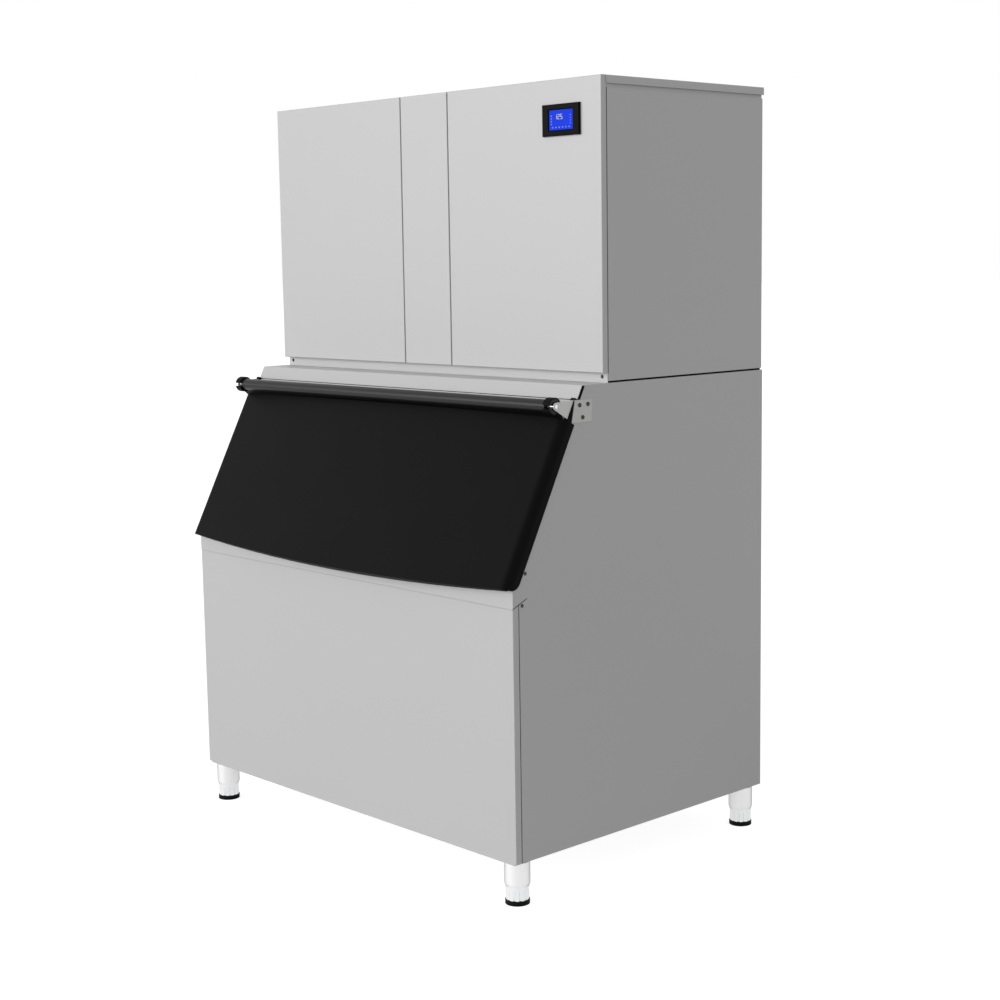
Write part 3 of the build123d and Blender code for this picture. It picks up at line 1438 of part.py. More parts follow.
PUMP_X = PARTITION_X - 38.0
PUMP_R = 26.0
PUMP_TOP_Z = TROUGH_TOP_Z + 85.0
PUMP_WAIST_R = 12.0
PUMP_BRACKET = 4.0
with BuildPart() as water_pump:
    pump_y = (deep(TROUGH_FRONT) + deep(WALL_BACK)) / 2
    with BuildSketch(level(TROUGH_Z + 2 * TROUGH_WALL)):
        with Locations((PUMP_X, pump_y)):
            Circle(PUMP_R)
    extrude(amount=PUMP_R)
    with BuildSketch(level(TROUGH_Z + 2 * TROUGH_WALL + PUMP_R)):
        with Locations((PUMP_X, pump_y)):
            Circle(PUMP_WAIST_R)
    extrude(amount=TROUGH_TOP_Z - TROUGH_Z - PUMP_R)
    with BuildSketch(level(TROUGH_TOP_Z)):
        with Locations((PUMP_X, pump_y)):
            Circle(PUMP_R)
    extrude(amount=PUMP_TOP_Z - TROUGH_TOP_Z)
    fillet(water_pump.edges().group_by(Axis.Z)[-1], radius=PUMP_BRACKET)
    # Bracket back to the wall.
    box(
        (PUMP_X - PUMP_WAIST_R, PUMP_X + PUMP_WAIST_R),
        (pump_y, deep(WALL_BACK)),
        (TROUGH_TOP_Z + PUMP_BRACKET, TROUGH_TOP_Z + 2 * PUMP_BRACKET),
    )
finish(water_pump.part, "water_pump")


# Compressor: a welded can on a foot plate, with its two brazed pipes
COMPRESSOR_X = PARTITION_X + 158.0
COMPRESSOR_BACK = HEAD_SETBACK + 184.0
COMPRESSOR_R = 92.0
COMPRESSOR_HEIGHT = 240.0
GROMMET_R = 11.0
GROMMET_HEIGHT = 12.0
FOOT_PLATE = 3.0
FOOT_SPREAD = 150.0
SEAM_PROUD = 4.0
DOME = 40.0
PLATE_Z = FLOOR_Z + GROMMET_HEIGHT
CAN_Z = PLATE_Z + FOOT_PLATE
SEAM_Z = CAN_Z + 0.55 * COMPRESSOR_HEIGHT

with BuildPart() as compressor_grommets:
    with BuildSketch(level(FLOOR_Z)):
        with Locations((COMPRESSOR_X, deep(COMPRESSOR_BACK))):
            with GridLocations(FOOT_SPREAD, FOOT_SPREAD, 2, 2):
                Circle(GROMMET_R)
    extrude(amount=GROMMET_HEIGHT)
finish(compressor_grommets.part, "compressor_grommets")

# Condenser behind the air slots: end plates that stand on the base and a slotted fin block
CONDENSER_LEFT = PARTITION_X + 38.0
CONDENSER_END = HEAD_HALF - 42.0
CONDENSER_WIDTH = CONDENSER_END - CONDENSER_LEFT
CONDENSER_FRONT = BIN_DEPTH - 100.0
CONDENSER_DEPTH = 56.0
CONDENSER_HEIGHT = 286.0
CONDENSER_Z = CEILING_Z - 133.8 - CONDENSER_HEIGHT
END_PLATE = 2.0
FIN_PITCH = 17.0
FIN_GAP = 12.0
FIN_DEPTH = 24.0
FIN_COUNT = int(CONDENSER_WIDTH / FIN_PITCH)
CONDENSER_X = CONDENSER_LEFT + CONDENSER_WIDTH / 2
CONDENSER_MIDDLE_Z = CONDENSER_Z + CONDENSER_HEIGHT / 2
PIPE_BEND = 30.0
DISCHARGE_Z = CONDENSER_Z + CONDENSER_HEIGHT - 4 * PIPE_R

# The suction pipe comes from the evaporators, through the bulkhead.
PIPE_START_Z = CAN_Z + COMPRESSOR_HEIGHT - DOME
suction_x = COMPRESSOR_X - COMPRESSOR_R / 2
suction_high_z = PIPE_HOLE_Z + 3 * PIPE_BEND
suction_pipe = pipe(
    [
        (suction_x, deep(COMPRESSOR_BACK), PIPE_START_Z),
        (suction_x, deep(COMPRESSOR_BACK), suction_high_z),
        (suction_x, SUCTION_Y, suction_high_z),
        (suction_x, SUCTION_Y, PIPE_HOLE_Z),
        (PARTITION_X - 4 * PIPE_R, SUCTION_Y, PIPE_HOLE_Z),
    ],
    PIPE_R,
    PIPE_BEND,
)

# The discharge pipe goes to the condenser's end plate.
discharge_x = COMPRESSOR_X + COMPRESSOR_R / 2
discharge_end_y = deep(CONDENSER_FRONT + CONDENSER_DEPTH / 2)
discharge_far_x = CONDENSER_END + PIPE_BEND + PIPE_R
discharge_pipe = pipe(
    [
        (discharge_x, deep(COMPRESSOR_BACK), PIPE_START_Z),
        (discharge_x, deep(COMPRESSOR_BACK), DISCHARGE_Z),
        (discharge_far_x, deep(COMPRESSOR_BACK), DISCHARGE_Z),
        (discharge_far_x, discharge_end_y, DISCHARGE_Z),
        (CONDENSER_END, discharge_end_y, DISCHARGE_Z),
    ],
    PIPE_R,
    PIPE_BEND,
)

with BuildPart() as compressor:
    with BuildSketch(level(PLATE_Z)):
        with Locations((COMPRESSOR_X, deep(COMPRESSOR_BACK))):
            RectangleRounded(
                FOOT_SPREAD + 2 * GROMMET_R, FOOT_SPREAD + 2 * GROMMET_R, radius=GROMMET_R
            )
    extrude(amount=FOOT_PLATE)
    for low, high, radius in (
        (CAN_Z, CAN_Z + COMPRESSOR_HEIGHT, COMPRESSOR_R),
        (SEAM_Z, SEAM_Z + SEAM_PROUD, COMPRESSOR_R + SEAM_PROUD),
    ):
        with BuildSketch(level(low)):
            with Locations((COMPRESSOR_X, deep(COMPRESSOR_BACK))):
                Circle(radius)
        extrude(amount=high - low)
    fillet(compressor.edges().filter_by(GeomType.CIRCLE).group_by(Axis.Z)[-1], radius=DOME)
    add(suction_pipe)
    add(discharge_pipe)
finish(compressor.part, "compressor")

with BuildPart() as condenser:
    box(
        (CONDENSER_LEFT, CONDENSER_END),
        (deep(CONDENSER_FRONT), deep(CONDENSER_FRONT + CONDENSER_DEPTH)),
        (CONDENSER_Z, CONDENSER_Z + CONDENSER_HEIGHT),
    )
    for face_y in (deep(CONDENSER_FRONT), deep(CONDENSER_FRONT + CONDENSER_DEPTH) - FIN_DEPTH):
        with BuildSketch(level(CONDENSER_Z)):
            with Locations((CONDENSER_X, face_y + FIN_DEPTH / 2)):
                with GridLocations(FIN_PITCH, 1, FIN_COUNT, 1):
                    Rectangle(FIN_GAP, FIN_DEPTH)
        extrude(amount=CONDENSER_HEIGHT, mode=Mode.SUBTRACT)
    for plate_x in (CONDENSER_LEFT, CONDENSER_END - END_PLATE):
        box(
            (plate_x, plate_x + END_PLATE),
            (deep(CONDENSER_FRONT), deep(CONDENSER_FRONT + CONDENSER_DEPTH)),
            (FLOOR_Z, CONDENSER_Z + CONDENSER_HEIGHT),
        )
finish(condenser.part, "condenser")


# Condenser fan: shroud with arms for the motor, the motor and its blade wheel
FAN_R = 122.0
FAN_RING_GAP = 6.0
RING_WALL = 3.0
RING_LENGTH = 58.0
SHROUD_SHEET = 2.0
ARM_WIDTH = 16.0
ARM_THICK = 4.0
MOTOR_R = 42.0
MOTOR_LENGTH = 72.0
SHAFT_R = 4.0
HUB_R = 28.0
HUB_LENGTH = 20.0
BLADES = 5
BLADE_THICK = 2.4
ROOT_CHORD = 26.0
TIP_CHORD = 46.0
ROOT_PITCH = 38.0
TIP_PITCH = 24.0
HUB_BACK = CONDENSER_FRONT - 12.0
HUB_FRONT = HUB_BACK - HUB_LENGTH
RING_FRONT_Y = deep(CONDENSER_FRONT) - RING_LENGTH
MOTOR_BACK = HUB_FRONT - 3.0
RING_R = FAN_R + FAN_RING_GAP

with BuildPart() as fan_shroud:
    box(
        (CONDENSER_LEFT, CONDENSER_END),
        (deep(CONDENSER_FRONT) - SHROUD_SHEET, deep(CONDENSER_FRONT)),
        (CONDENSER_Z, CONDENSER_Z + CONDENSER_HEIGHT),
    )
    with BuildSketch(facing_front(RING_FRONT_Y)):
        with Locations((CONDENSER_X, CONDENSER_MIDDLE_Z)):
            Circle(RING_R + RING_WALL)
    extrude(amount=-RING_LENGTH)
    with BuildSketch(facing_front(RING_FRONT_Y)):
        with Locations((CONDENSER_X, CONDENSER_MIDDLE_Z)):
            Circle(RING_R)
    extrude(amount=-RING_LENGTH, mode=Mode.SUBTRACT)
    with BuildSketch(facing_front(RING_FRONT_Y)):
        with Locations((CONDENSER_X, CONDENSER_MIDDLE_Z)):
            Rectangle(2 * RING_R + RING_WALL, ARM_WIDTH)
            Rectangle(ARM_WIDTH, 2 * RING_R + RING_WALL)
            Circle(MOTOR_R + ARM_WIDTH / 2)
            Circle(MOTOR_R, mode=Mode.SUBTRACT)
    extrude(amount=-ARM_THICK)
finish(fan_shroud.part, "fan_shroud")

with BuildPart() as fan_motor:
    with BuildSketch(facing_front(deep(MOTOR_BACK))):
        with Locations((CONDENSER_X, CONDENSER_MIDDLE_Z)):
            Circle(MOTOR_R)
    extrude(amount=MOTOR_LENGTH)
    fillet(fan_motor.edges().filter_by(GeomType.CIRCLE), radius=MOTOR_R / 6)
    with BuildSketch(facing_front(deep(HUB_BACK))):
        with Locations((CONDENSER_X, CONDENSER_MIDDLE_Z)):
            Circle(SHAFT_R)
    extrude(amount=HUB_BACK - MOTOR_BACK)
finish(fan_motor.part, "fan_motor")

# One blade stands straight up from the hub and is then copied round it.
with BuildPart() as blade:
    hub_middle = deep((HUB_FRONT + HUB_BACK) / 2)
    for radius, chord, pitch in (
        (HUB_R * 0.9, ROOT_CHORD, ROOT_PITCH),
        (FAN_R, TIP_CHORD, TIP_PITCH),
    ):
        with BuildSketch(level(CONDENSER_MIDDLE_Z + radius)):
            with Locations((CONDENSER_X, hub_middle)):
                Rectangle(chord, BLADE_THICK, rotation=pitch)
    loft()

with BuildPart() as fan_blade:
    with BuildSketch(facing_front(deep(HUB_BACK))):
        with Locations((CONDENSER_X, CONDENSER_MIDDLE_Z)):
            Circle(HUB_R)
    extrude(amount=HUB_LENGTH)
    for index in range(BLADES):
        add(blade.part.rotate(
            Axis((CONDENSER_X, hub_middle, CONDENSER_MIDDLE_Z), (0, 1, 0)), 360 * index / BLADES
        ))
    with BuildSketch(facing_front(deep(HUB_BACK))):
        with Locations((CONDENSER_X, CONDENSER_MIDDLE_Z)):
            Circle(SHAFT_R + RUNNING_GAP)
    extrude(amount=HUB_LENGTH, mode=Mode.SUBTRACT)
finish(fan_blade.part, "fan_blade")


# Control box on the right side, near the display
CONTROL_WIDTH = 150.0
CONTROL_FRONT = HEAD_SETBACK + 54.0
CONTROL_DEPTH = 110.0
CONTROL_HEIGHT = 220.0
CONTROL_Z = CEILING_Z - 104.8 - CONTROL_HEIGHT
with BuildPart() as control_box:
    control_x = (HEAD_HALF - SHEET - CONTROL_WIDTH, HEAD_HALF - SHEET)
    box(
        control_x,
        (deep(CONTROL_FRONT), deep(CONTROL_FRONT + CONTROL_DEPTH)),
        (CONTROL_Z, CONTROL_Z + CONTROL_HEIGHT),
    )
    fillet(control_box.faces().sort_by(Axis.X)[0].edges(), radius=BEND)
finish(control_box.part, "control_box")
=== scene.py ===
"""Looks of the ice machine: camera, light, finishes and the small pieces left to this file.

Everything is in metres in the frame of the construction: X to the right, -Y to the front, Z up.
"""

import json
import math

import bmesh
import bpy
from mathutils import Matrix, Vector


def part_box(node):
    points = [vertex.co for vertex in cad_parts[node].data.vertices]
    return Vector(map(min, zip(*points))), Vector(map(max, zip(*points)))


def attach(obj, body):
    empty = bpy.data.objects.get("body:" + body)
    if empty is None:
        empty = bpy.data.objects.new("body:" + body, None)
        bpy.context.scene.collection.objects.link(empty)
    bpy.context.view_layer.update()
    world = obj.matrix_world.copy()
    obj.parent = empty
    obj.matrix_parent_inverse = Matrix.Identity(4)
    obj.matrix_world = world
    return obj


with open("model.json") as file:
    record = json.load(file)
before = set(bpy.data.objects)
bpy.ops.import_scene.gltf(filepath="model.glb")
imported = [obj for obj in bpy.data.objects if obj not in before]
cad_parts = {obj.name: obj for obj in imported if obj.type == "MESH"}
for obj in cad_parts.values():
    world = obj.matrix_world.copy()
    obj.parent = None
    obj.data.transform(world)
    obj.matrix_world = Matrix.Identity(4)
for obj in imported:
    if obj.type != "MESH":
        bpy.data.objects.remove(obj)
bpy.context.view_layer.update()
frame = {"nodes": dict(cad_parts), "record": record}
nodes = frame["nodes"]

MM = 0.001
WHITE = (1, 1, 1, 1)


# Camera, at the photograph's viewing angle

SENSOR_WIDTH = 36.0
LENS = 64.07
NEAREST_SEEN = 0.05
FARTHEST_SEEN = 200.0
CAMERA_PLACE = (3.4099, -3.0736, 1.4684)
CAMERA_YAW = 46.937
CAMERA_PITCH = 7.86
CAMERA_ROLL = -0.884


def place_camera():
    data = bpy.data.cameras.new("camera")
    data.sensor_width = SENSOR_WIDTH
    data.lens = LENS
    data.clip_start = NEAREST_SEEN
    data.clip_end = FARTHEST_SEEN
    camera = bpy.data.objects.new("camera", data)
    turn = (
        Matrix.Rotation(math.radians(CAMERA_YAW), 4, "Z")
        @ Matrix.Rotation(math.radians(90 - CAMERA_PITCH), 4, "X")
        @ Matrix.Rotation(math.radians(CAMERA_ROLL), 4, "Z")
    )
    camera.matrix_world = Matrix.Translation(CAMERA_PLACE) @ turn
    bpy.context.collection.objects.link(camera)
    bpy.context.scene.camera = camera


# Shared steps for meshes and shader trees


def object_from(name, shape, material):
    """An object of the scene made from a finished bmesh, in one material."""
    mesh = bpy.data.meshes.new(name)
    shape.to_mesh(mesh)
    shape.free()
    mesh.materials.append(material)
    piece = bpy.data.objects.new(name, mesh)
    bpy.context.collection.objects.link(piece)
    return piece


def feed(tree, value, socket):
    """Links another node's output to an input, or sets the input to a plain value."""
    if isinstance(value, bpy.types.NodeSocket):
        tree.links.new(value, socket)
    else:
        socket.default_value = value


def math_step(tree, operation, *values):
    step = tree.nodes.new("ShaderNodeMath")
    step.operation = operation
    for value, socket in zip(values, step.inputs):
        feed(tree, value, socket)
    return step.outputs[0]


def vector_step(tree, operation, *vectors):
    step = tree.nodes.new("ShaderNodeVectorMath")
    step.operation = operation
    for vector, socket in zip(vectors, step.inputs):
        feed(tree, vector, socket)
    return step.outputs


def scaled(tree, vector, factor):
    step = tree.nodes.new("ShaderNodeVectorMath")
    step.operation = "SCALE"
    feed(tree, vector, step.inputs[0])
    feed(tree, factor, step.inputs["Scale"])
    return step.outputs["Vector"]


# Light: a level sky and one broad soft key from the front and left

SKY_LEVEL = 0.43
KEY_LEVEL = 2.15
KEY_SPREAD = 50.0
KEY_FROM = Vector((-0.42, -0.86, 0.15))


def soft_sun(name, towards_light, level, spread):
    data = bpy.data.lights.new(name, "SUN")
    data.energy = level
    data.angle = math.radians(spread)
    lamp = bpy.data.objects.new(name, data)
    lamp.rotation_mode = "QUATERNION"
    lamp.rotation_quaternion = (-towards_light).to_track_quat("-Z", "Y")
    bpy.context.collection.objects.link(lamp)


def seen_directly(tree):
    """1 for rays that show the surroundings as they are: camera, glossy and transmission rays."""
    ray = tree.nodes.new("ShaderNodeLightPath").outputs
    direct = math_step(tree, "MAXIMUM", ray["Is Camera Ray"], ray["Is Glossy Ray"])
    return math_step(tree, "MAXIMUM", direct, ray["Is Transmission Ray"])


def light_world():
    """A sky that lights the object at one level and shows itself as white."""
    world = bpy.data.worlds.new("studio")
    bpy.context.scene.world = world
    world.use_nodes = True
    tree = world.node_tree
    background = tree.nodes["Background"]
    background.inputs["Color"].default_value = WHITE
    level = tree.nodes.new("ShaderNodeMapRange")
    level.inputs["To Min"].default_value = SKY_LEVEL
    level.inputs["To Max"].default_value = 1.0
    tree.links.new(seen_directly(tree), level.inputs["Value"])
    tree.links.new(level.outputs["Result"], background.inputs["Strength"])
    soft_sun("key_light", KEY_FROM, KEY_LEVEL, KEY_SPREAD)


# Floor: pale, white where it is seen, with the soft shadow of the object

FLOOR_REACH = 60.0
FLOOR_GREY = (0.5, 0.5, 0.5, 1)
FLOOR_ROUGHNESS = 0.9
FLOOR_SPECULAR = 0.1
FLOOR_GLOW = 0.85


def floor_finish():
    material = bpy.data.materials.new("floor")
    material.use_nodes = True
    tree = material.node_tree
    inputs = tree.nodes["Principled BSDF"].inputs
    inputs["Base Color"].default_value = FLOOR_GREY
    inputs["Roughness"].default_value = FLOOR_ROUGHNESS
    inputs["Specular IOR Level"].default_value = FLOOR_SPECULAR
    inputs["Emission Color"].default_value = WHITE
    glow = math_step(tree, "MULTIPLY", seen_directly(tree), FLOOR_GLOW)
    tree.links.new(glow, inputs["Emission Strength"])
    return material


def lay_floor():
    shape = bmesh.new()
    bmesh.ops.create_grid(shape, x_segments=1, y_segments=1, size=FLOOR_REACH)
    object_from("floor", shape, floor_finish())


# Shader groups shared by several finishes


def new_effect(name, own_inputs):
    """A shader group with its own inputs and those of all effects, and the same three outputs."""
    group = bpy.data.node_groups.new(name, "ShaderNodeTree")
    inputs = {
        **own_inputs,
        "Tone": "NodeSocketFloat",
        "Roughness": "NodeSocketFloat",
        "Roughness Swing": "NodeSocketFloat",
        "Colour": "NodeSocketColor",
    }
    outputs = {
        "Colour": "NodeSocketColor",
        "Roughness": "NodeSocketFloat",
        "Height": "NodeSocketFloat",
    }
    for title, kind in inputs.items():
        group.interface.new_socket(title, in_out="INPUT", socket_type=kind)
    for title, kind in outputs.items():
        group.interface.new_socket(title, in_out="OUTPUT", socket_type=kind)
    start = group.nodes.new("NodeGroupInput")
    end = group.nodes.new("NodeGroupOutput")
    return group, start.outputs, end.inputs


def place_on_object(tree):
    return tree.nodes.new("ShaderNodeTexCoord").outputs["Object"]


def noise(tree, place, scale, detail, roughness=0.5):
    texture = tree.nodes.new("ShaderNodeTexNoise")
    feed(tree, place, texture.inputs["Vector"])
    feed(tree, scale, texture.inputs["Scale"])
    texture.inputs["Detail"].default_value = detail
    texture.inputs["Roughness"].default_value = roughness
    return texture.outputs["Fac"]


def close_effect(group, given, result, drift, height):
    """Lets a drift around 0 change tone and roughness, and puts both out with the height."""
    tone = math_step(group, "MULTIPLY_ADD", drift, given["Tone"], 1.0)
    gloss = math_step(group, "MULTIPLY_ADD", drift, given["Roughness Swing"], given["Roughness"])
    group.links.new(scaled(group, given["Colour"], tone), result["Colour"])
    group.links.new(gloss, result["Roughness"])
    group.links.new(height, result["Height"])


def make_brushing():
    """Fine lines of brushed sheet, with slow drifts of tone along them."""
    group, given, result = new_effect("brushing", {"Stretch": "NodeSocketVector"})
    place = place_on_object(group)
    stretched = vector_step(group, "MULTIPLY", place, given["Stretch"])["Vector"]
    lines = noise(group, stretched, scale=1.0, detail=4.0, roughness=0.7)
    patches = noise(group, place, scale=1.7, detail=2.0)
    both = math_step(group, "ADD", lines, patches)
    drift = math_step(group, "SUBTRACT", both, 1.0)
    close_effect(group, given, result, drift, lines)
    return group


def make_moulded_grain():
    """Fine grain and slight unevenness of a moulded or cast surface."""
    group, given, result = new_effect("moulded_grain", {"Grain Scale": "NodeSocketFloat"})
    place = place_on_object(group)
    grain = noise(group, place, scale=given["Grain Scale"], detail=3.0)
    patches = noise(group, place, scale=6.0, detail=3.0)
    drift = math_step(group, "SUBTRACT", patches, 0.5)
    close_effect(group, given, result, drift, grain)
    return group


# Finishes

BRUSHING = make_brushing()
BRUSHED_SWING = 0.08
BRUSHED_DEPTH = 0.05 * MM
GRAIN = make_moulded_grain()
MOULDED_SWING = 0.12
MOULDED_DEPTH = 0.2 * MM

UP_SHEET = (2, 2, 1400)            # lines or spots per metre along X, Y and Z
ACROSS_LID = (2, 1400, 2)
FOLD_LINES = (300, 300, 900)
ZINC_SPOTS = (40, 40, 60)
CAST_SPOTS = (60, 60, 60)
FIN_LINES = (600, 600, 20)
TURNED_LINES = (30, 900, 30)


def grey(level):
    return (level, level, level)


def finish_with(name, group, settings, bump, bump_depth, **shader_values):
    """A material whose colour, roughness and bump come from one of the groups."""
    material = bpy.data.materials.new(name)
    material.use_nodes = True
    tree = material.node_tree
    shader = tree.nodes["Principled BSDF"]
    effect = tree.nodes.new("ShaderNodeGroup")
    effect.name = "effect"
    effect.node_tree = group
    for title, value in settings.items():
        effect.inputs[title].default_value = value
    tree.links.new(effect.outputs["Colour"], shader.inputs["Base Color"])
    tree.links.new(effect.outputs["Roughness"], shader.inputs["Roughness"])
    if bump:
        dent = tree.nodes.new("ShaderNodeBump")
        dent.inputs["Strength"].default_value = bump
        dent.inputs["Distance"].default_value = bump_depth
        tree.links.new(effect.outputs["Height"], dent.inputs["Height"])
        tree.links.new(dent.outputs["Normal"], shader.inputs["Normal"])
    for title, value in shader_values.items():
        shader.inputs[title.replace("_", " ")].default_value = value
    return material


def brushed(
    name, colour, metallic, roughness, stretch=UP_SHEET, tone=0.03, bump=0.15, **shader_values
):
    settings = {
        "Stretch": stretch,
        "Tone": tone,
        "Roughness": roughness,
        "Roughness Swing": BRUSHED_SWING,
        "Colour": (*colour, 1),
    }
    return finish_with(
        name, BRUSHING, settings, bump, BRUSHED_DEPTH, Metallic=metallic, **shader_values
    )


def moulded(name, colour, roughness, grain=900.0, tone=0.1, bump=0.1, **shader_values):
    settings = {
        "Grain Scale": grain,
        "Tone": tone,
        "Roughness": roughness,
        "Roughness Swing": MOULDED_SWING,
        "Colour": (*colour, 1),
    }
    return finish_with(name, GRAIN, settings, bump, MOULDED_DEPTH, **shader_values)


# Sheet and other metal

steel_panel = brushed("steel_panel", grey(0.56), metallic=0.15, roughness=0.5)
steel_lid = brushed(
    "steel_lid", grey(0.56), metallic=0.15, roughness=0.5, stretch=ACROSS_LID
)
steel_bright = brushed(
    "steel_bright", (0.78, 0.79, 0.8), metallic=0.85, roughness=0.22, bump=0.05
)
steel_rear = brushed(
    "steel_rear", (0.5, 0.51, 0.52), metallic=0.4, roughness=0.5, stretch=ZINC_SPOTS, tone=0.14
)
# The head's frame, seen only through the panel seams, is near black so that the seams show dark:
# painted shade.
frame_steel_painted_shade = brushed(
    "frame_steel_painted_shade", grey(0.06), metallic=0.3, roughness=0.5, stretch=ZINC_SPOTS, tone=0.14
)
# The dark grey edge tint darkens the legs' reflections at grazing angles: painted shade along
# their edges.
leg_steel = brushed(
    "leg_steel",
    grey(0.86),
    metallic=0.75,
    roughness=0.3,
    bump=0.05,
    Specular_Tint=(*grey(0.25), 1),
)
folded_steel = brushed(
    "folded_steel", (0.72, 0.72, 0.71), metallic=0.2, roughness=0.45, stretch=FOLD_LINES
)
hinge_steel = brushed(
    "hinge_steel", (0.5, 0.5, 0.49), metallic=0.4, roughness=0.45, stretch=FOLD_LINES
)
rivet_steel = brushed("rivet_steel", grey(0.03), metallic=0.4, roughness=0.4)
# The screw heads' near-black colour stands in for the dark surroundings that chrome reflects:
# painted reflection.
screw_painted_dark_reflection = brushed("screw_painted_dark_reflection", grey(0.05), metallic=0.9, roughness=0.2, bump=0.05)
evaporator_metal = brushed(
    "evaporator_metal", (0.62, 0.62, 0.6), metallic=0.9, roughness=0.3, stretch=CAST_SPOTS
)
condenser_fin = brushed(
    "condenser_fin", (0.6, 0.61, 0.62), metallic=0.8, roughness=0.38, stretch=FIN_LINES
)
brass_fitting = brushed(
    "brass_fitting", (0.62, 0.42, 0.16), metallic=0.9, roughness=0.3, stretch=TURNED_LINES
)


# Plastic, rubber, foam and paint

door_plastic = moulded(
    "door_plastic",
    (0.003, 0.003, 0.0033),
    roughness=0.5,
    grain=1500.0,
    Specular_IOR_Level=0.05,
)
trim_plastic = moulded("trim_plastic", grey(0.003), roughness=0.4, Specular_IOR_Level=0.04)
liner_plastic = moulded(
    "liner_plastic", (0.62, 0.65, 0.66), roughness=0.35, grain=400.0, tone=0.05
)
# The foam's near-black brown stands in for the shade inside the panel seams in front of it:
# painted shade.
foam = moulded("foam", (0.06, 0.055, 0.045), roughness=0.9, grain=700.0, tone=0.2, bump=0.6)
rubber_black = moulded(
    "rubber_black", grey(0.004), roughness=0.7, grain=1200.0, bump=0.3, Specular_IOR_Level=0.1
)
compressor_paint = moulded(
    "compressor_paint", (0.012, 0.012, 0.013), roughness=0.35, grain=500.0
)
pump_plastic = moulded("pump_plastic", (0.06, 0.075, 0.09), roughness=0.45)
control_plastic = moulded("control_plastic", (0.09, 0.09, 0.1), roughness=0.45)
drain_plastic = moulded("drain_plastic", (0.42, 0.43, 0.44), roughness=0.4)
curtain_plastic = moulded(
    "curtain_plastic",
    (0.72, 0.78, 0.82),
    roughness=0.12,
    tone=0.03,
    bump=0.02,
    Transmission_Weight=0.7,
)


# Glow of the display

TO_FRONT = (0, -1, 0)
SCREEN_ROUGHNESS = 0.35
SCREEN_GRAIN = 600.0
SCREEN_SPECULAR = 0.03


def lit(name, colour, strength):
    """Glowing element of the display, a little uneven like a lit panel, dark on its back."""
    material = moulded(
        name,
        colour,
        roughness=SCREEN_ROUGHNESS,
        grain=SCREEN_GRAIN,
        bump=0.0,
        Specular_IOR_Level=SCREEN_SPECULAR,
    )
    tree = material.node_tree
    inputs = tree.nodes["Principled BSDF"].inputs
    normal = tree.nodes.new("ShaderNodeTexCoord").outputs["Normal"]
    facing = vector_step(tree, "DOT_PRODUCT", normal, TO_FRONT)["Value"]
    front_only = math_step(tree, "MAXIMUM", facing, 0.0)
    glow = scaled(tree, tree.nodes["effect"].outputs["Colour"], front_only)
    tree.links.new(glow, inputs["Emission Color"])
    inputs["Emission Strength"].default_value = strength
    return material


screen_blue = lit("screen_blue", (0.008, 0.03, 0.45), strength=0.85)
screen_sign = lit("screen_sign", (0.12, 0.2, 0.62), strength=0.75)
screen_digit = lit("screen_digit", (0.62, 0.62, 0.2), strength=0.7)


# Polish of the door's hinge barrel

BARREL_R = 15 * MM
POLISH_WEIGHT = 0.5
POLISH_FADE = 4 * MM
POLISH_ROUGHNESS = 0.3
ACROSS_AXIS = (0, 1, 1)


def polish_around_axis(material, centre, radius):
    """A glossier skin on the rolled edge of a moulding, near a level axis along X."""
    tree = material.node_tree
    offset = vector_step(tree, "SUBTRACT", place_on_object(tree), centre)["Vector"]
    across = vector_step(tree, "MULTIPLY", offset, ACROSS_AXIS)["Vector"]
    distance = vector_step(tree, "LENGTH", across)["Value"]
    weight = tree.nodes.new("ShaderNodeMapRange")
    weight.interpolation_type = "SMOOTHSTEP"
    weight.inputs["From Min"].default_value = radius
    weight.inputs["From Max"].default_value = radius + POLISH_FADE
    weight.inputs["To Min"].default_value = POLISH_WEIGHT
    weight.inputs["To Max"].default_value = 0.0
    tree.links.new(distance, weight.inputs["Value"])
    inputs = tree.nodes["Principled BSDF"].inputs
    tree.links.new(weight.outputs["Result"], inputs["Coat Weight"])
    inputs["Coat Roughness"].default_value = POLISH_ROUGHNESS


def polish_hinge_barrel():
    low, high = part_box("hinge_pins")
    polish_around_axis(door_plastic, (low + high) / 2, BARREL_R)


# Which finish each node gets

SLOT_FINISH = {
    "steel_panel": steel_panel,
    "steel_bright": steel_bright,
    "steel_galvanised": steel_rear,
    "door_plastic": door_plastic,
    "trim_plastic": trim_plastic,
    "liner_plastic": liner_plastic,
    "foam": foam,
    "rubber_black": rubber_black,
    "display_glass": screen_blue,
    "evaporator_metal": evaporator_metal,
    "compressor_paint": compressor_paint,
    "condenser_fin": condenser_fin,
    "curtain_plastic": curtain_plastic,
    "pump_plastic": pump_plastic,
    "control_plastic": control_plastic,
    "brass_fitting": brass_fitting,
    "drain_plastic": drain_plastic,
}
NODE_FINISH = {
    "head_cap": steel_lid,
    "bin_deck": steel_lid,
    "hinge_plates": hinge_steel,
    "hinge_ears": folded_steel,
    "head_frame": frame_steel_painted_shade,
    "hinge_rivets": rivet_steel,
    "legs": leg_steel,
    "cabinet_screws": screw_painted_dark_reflection,
}


def dress_nodes():
    """A node's own finish where it has one, or else that of its slot."""
    for part in frame["record"]["subparts"]:
        name = part["node"]
        finish = NODE_FINISH.get(name, SLOT_FINISH[part["material_slot"]])
        mesh = nodes[name].data
        mesh.materials.clear()
        mesh.materials.append(finish)


# Marks on the display: plain numbers and small signs, raised a little from the screen

DISPLAY_NUMBER = "125"
SEGMENTS = {"1": "bc", "2": "abged", "5": "afgcd"}     # bars that make each digit
DIGIT_HEIGHT = 10.5 * MM
DIGIT_WIDTH = 5.5 * MM
DIGIT_STEP = 9 * MM
STROKE = 1.0 * MM
MARK_DEPTH = 0.3 * MM

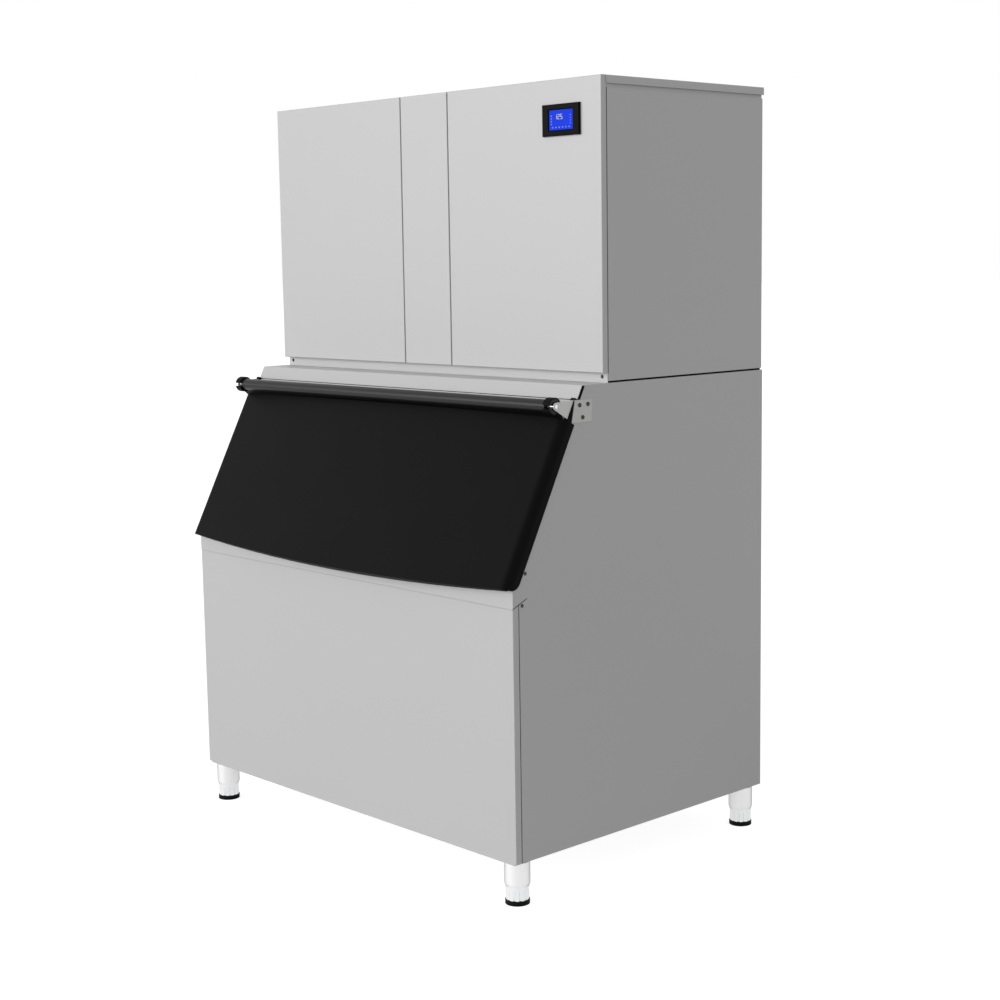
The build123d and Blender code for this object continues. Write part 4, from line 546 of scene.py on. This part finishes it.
NUMBER_LEFT = 0.28                 # shares of the screen's width and height
NUMBER_UP = 0.66
SIGN_INSET = 0.09
SIGN_ROWS = (0.3, 0.44, 0.58, 0.72)
BUTTON_UP = 0.13
BUTTON_COUNT = 6

SIGN_SIZE = (4.5 * MM, 2.4 * MM)   # width and height
LINE_SIZE = (5 * MM, 1.2 * MM)
BUTTON_SIZE = (4.5 * MM, 2.6 * MM)


def segment_bars(digit, x, z):
    """Bars (centre x, centre z, width, height) of a seven-segment digit."""
    high = DIGIT_HEIGHT / 2
    wide = DIGIT_WIDTH / 2
    spots = {
        "a": (0, high, DIGIT_WIDTH, STROKE),
        "g": (0, 0, DIGIT_WIDTH, STROKE),
        "d": (0, -high, DIGIT_WIDTH, STROKE),
        "f": (-wide, high / 2, STROKE, high),
        "b": (wide, high / 2, STROKE, high),
        "e": (-wide, -high / 2, STROKE, high),
        "c": (wide, -high / 2, STROKE, high),
    }
    bars = []
    for key in SEGMENTS[digit]:
        aside, up, width, height = spots[key]
        bars.append((x + aside, z + up, width, height))
    return bars


def flat_marks(name, bars, face_y, material):
    """One mesh of thin bars that stand on an upright face that looks to the front."""
    shape = bmesh.new()
    for x, z, width, height in bars:
        bar = bmesh.ops.create_cube(shape, size=1.0)["verts"]
        bmesh.ops.scale(shape, vec=(width, MARK_DEPTH, height), verts=bar)
        bmesh.ops.translate(shape, vec=(x, face_y - MARK_DEPTH / 2, z), verts=bar)
    marks = object_from(name, shape, material)
    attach(marks, "cabinet")


def mark_display():
    low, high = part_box("display_screen")
    width = high.x - low.x
    height = high.z - low.z
    digits = []
    for index, digit in enumerate(DISPLAY_NUMBER):
        x = low.x + NUMBER_LEFT * width + index * DIGIT_STEP
        digits += segment_bars(digit, x, low.z + NUMBER_UP * height)
    signs = []
    for row in SIGN_ROWS:
        z = low.z + row * height
        signs.append((low.x + SIGN_INSET * width, z, *SIGN_SIZE))
        signs.append((high.x - SIGN_INSET * width, z, *LINE_SIZE))
    for step in range(BUTTON_COUNT):
        x = low.x + width * (step + 1) / (BUTTON_COUNT + 1)
        signs.append((x, low.z + BUTTON_UP * height, *BUTTON_SIZE))
    flat_marks("display_number", digits, low.y, screen_digit)
    flat_marks("display_signs", signs, low.y, screen_sign)


# Throat of the liner: a strip and two cheeks between the door opening and the cavity wall

CAVITY_HALF = 560 * MM
LINER_WALL = 3 * MM
OPENING_Z = 775 * MM               # lower edge of the door opening
THROAT_NEAR = 49 * MM              # depths behind the lower front panel
THROAT_FAR = 76.5 * MM
THROAT_TOP_DEPTH = 131 * MM
THROAT_TOP_Z = 881 * MM


def prism_across(shape, outline, left, right):
    """A prism between two values of X over an outline given as Y and Z."""
    near = [shape.verts.new((left, y, z)) for y, z in outline]
    far = [shape.verts.new((right, y, z)) for y, z in outline]
    shape.faces.new(near)
    shape.faces.new(far)
    for index in range(len(outline)):
        shape.faces.new((near[index - 1], near[index], far[index], far[index - 1]))


def close_liner_throat():
    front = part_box("front_panel")[0].y
    near = front + THROAT_NEAR
    far = front + THROAT_FAR
    top = OPENING_Z + LINER_WALL
    strip = ((near, OPENING_Z), (far, OPENING_Z), (far, top), (near, top))
    cheek = ((near, OPENING_Z), (far, OPENING_Z), (front + THROAT_TOP_DEPTH, THROAT_TOP_Z))
    shape = bmesh.new()
    prism_across(shape, strip, -CAVITY_HALF, CAVITY_HALF)
    for side in (-1, 1):
        prism_across(shape, cheek, side * (CAVITY_HALF - LINER_WALL), side * CAVITY_HALF)
    bmesh.ops.recalc_face_normals(shape, faces=shape.faces)
    throat = object_from("liner_throat", shape, liner_plastic)
    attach(throat, "cabinet")


place_camera()
light_world()
lay_floor()
polish_hinge_barrel()
dress_nodes()
mark_display()
close_liner_throat()

bpy.context.scene.view_settings.view_transform = "Standard"
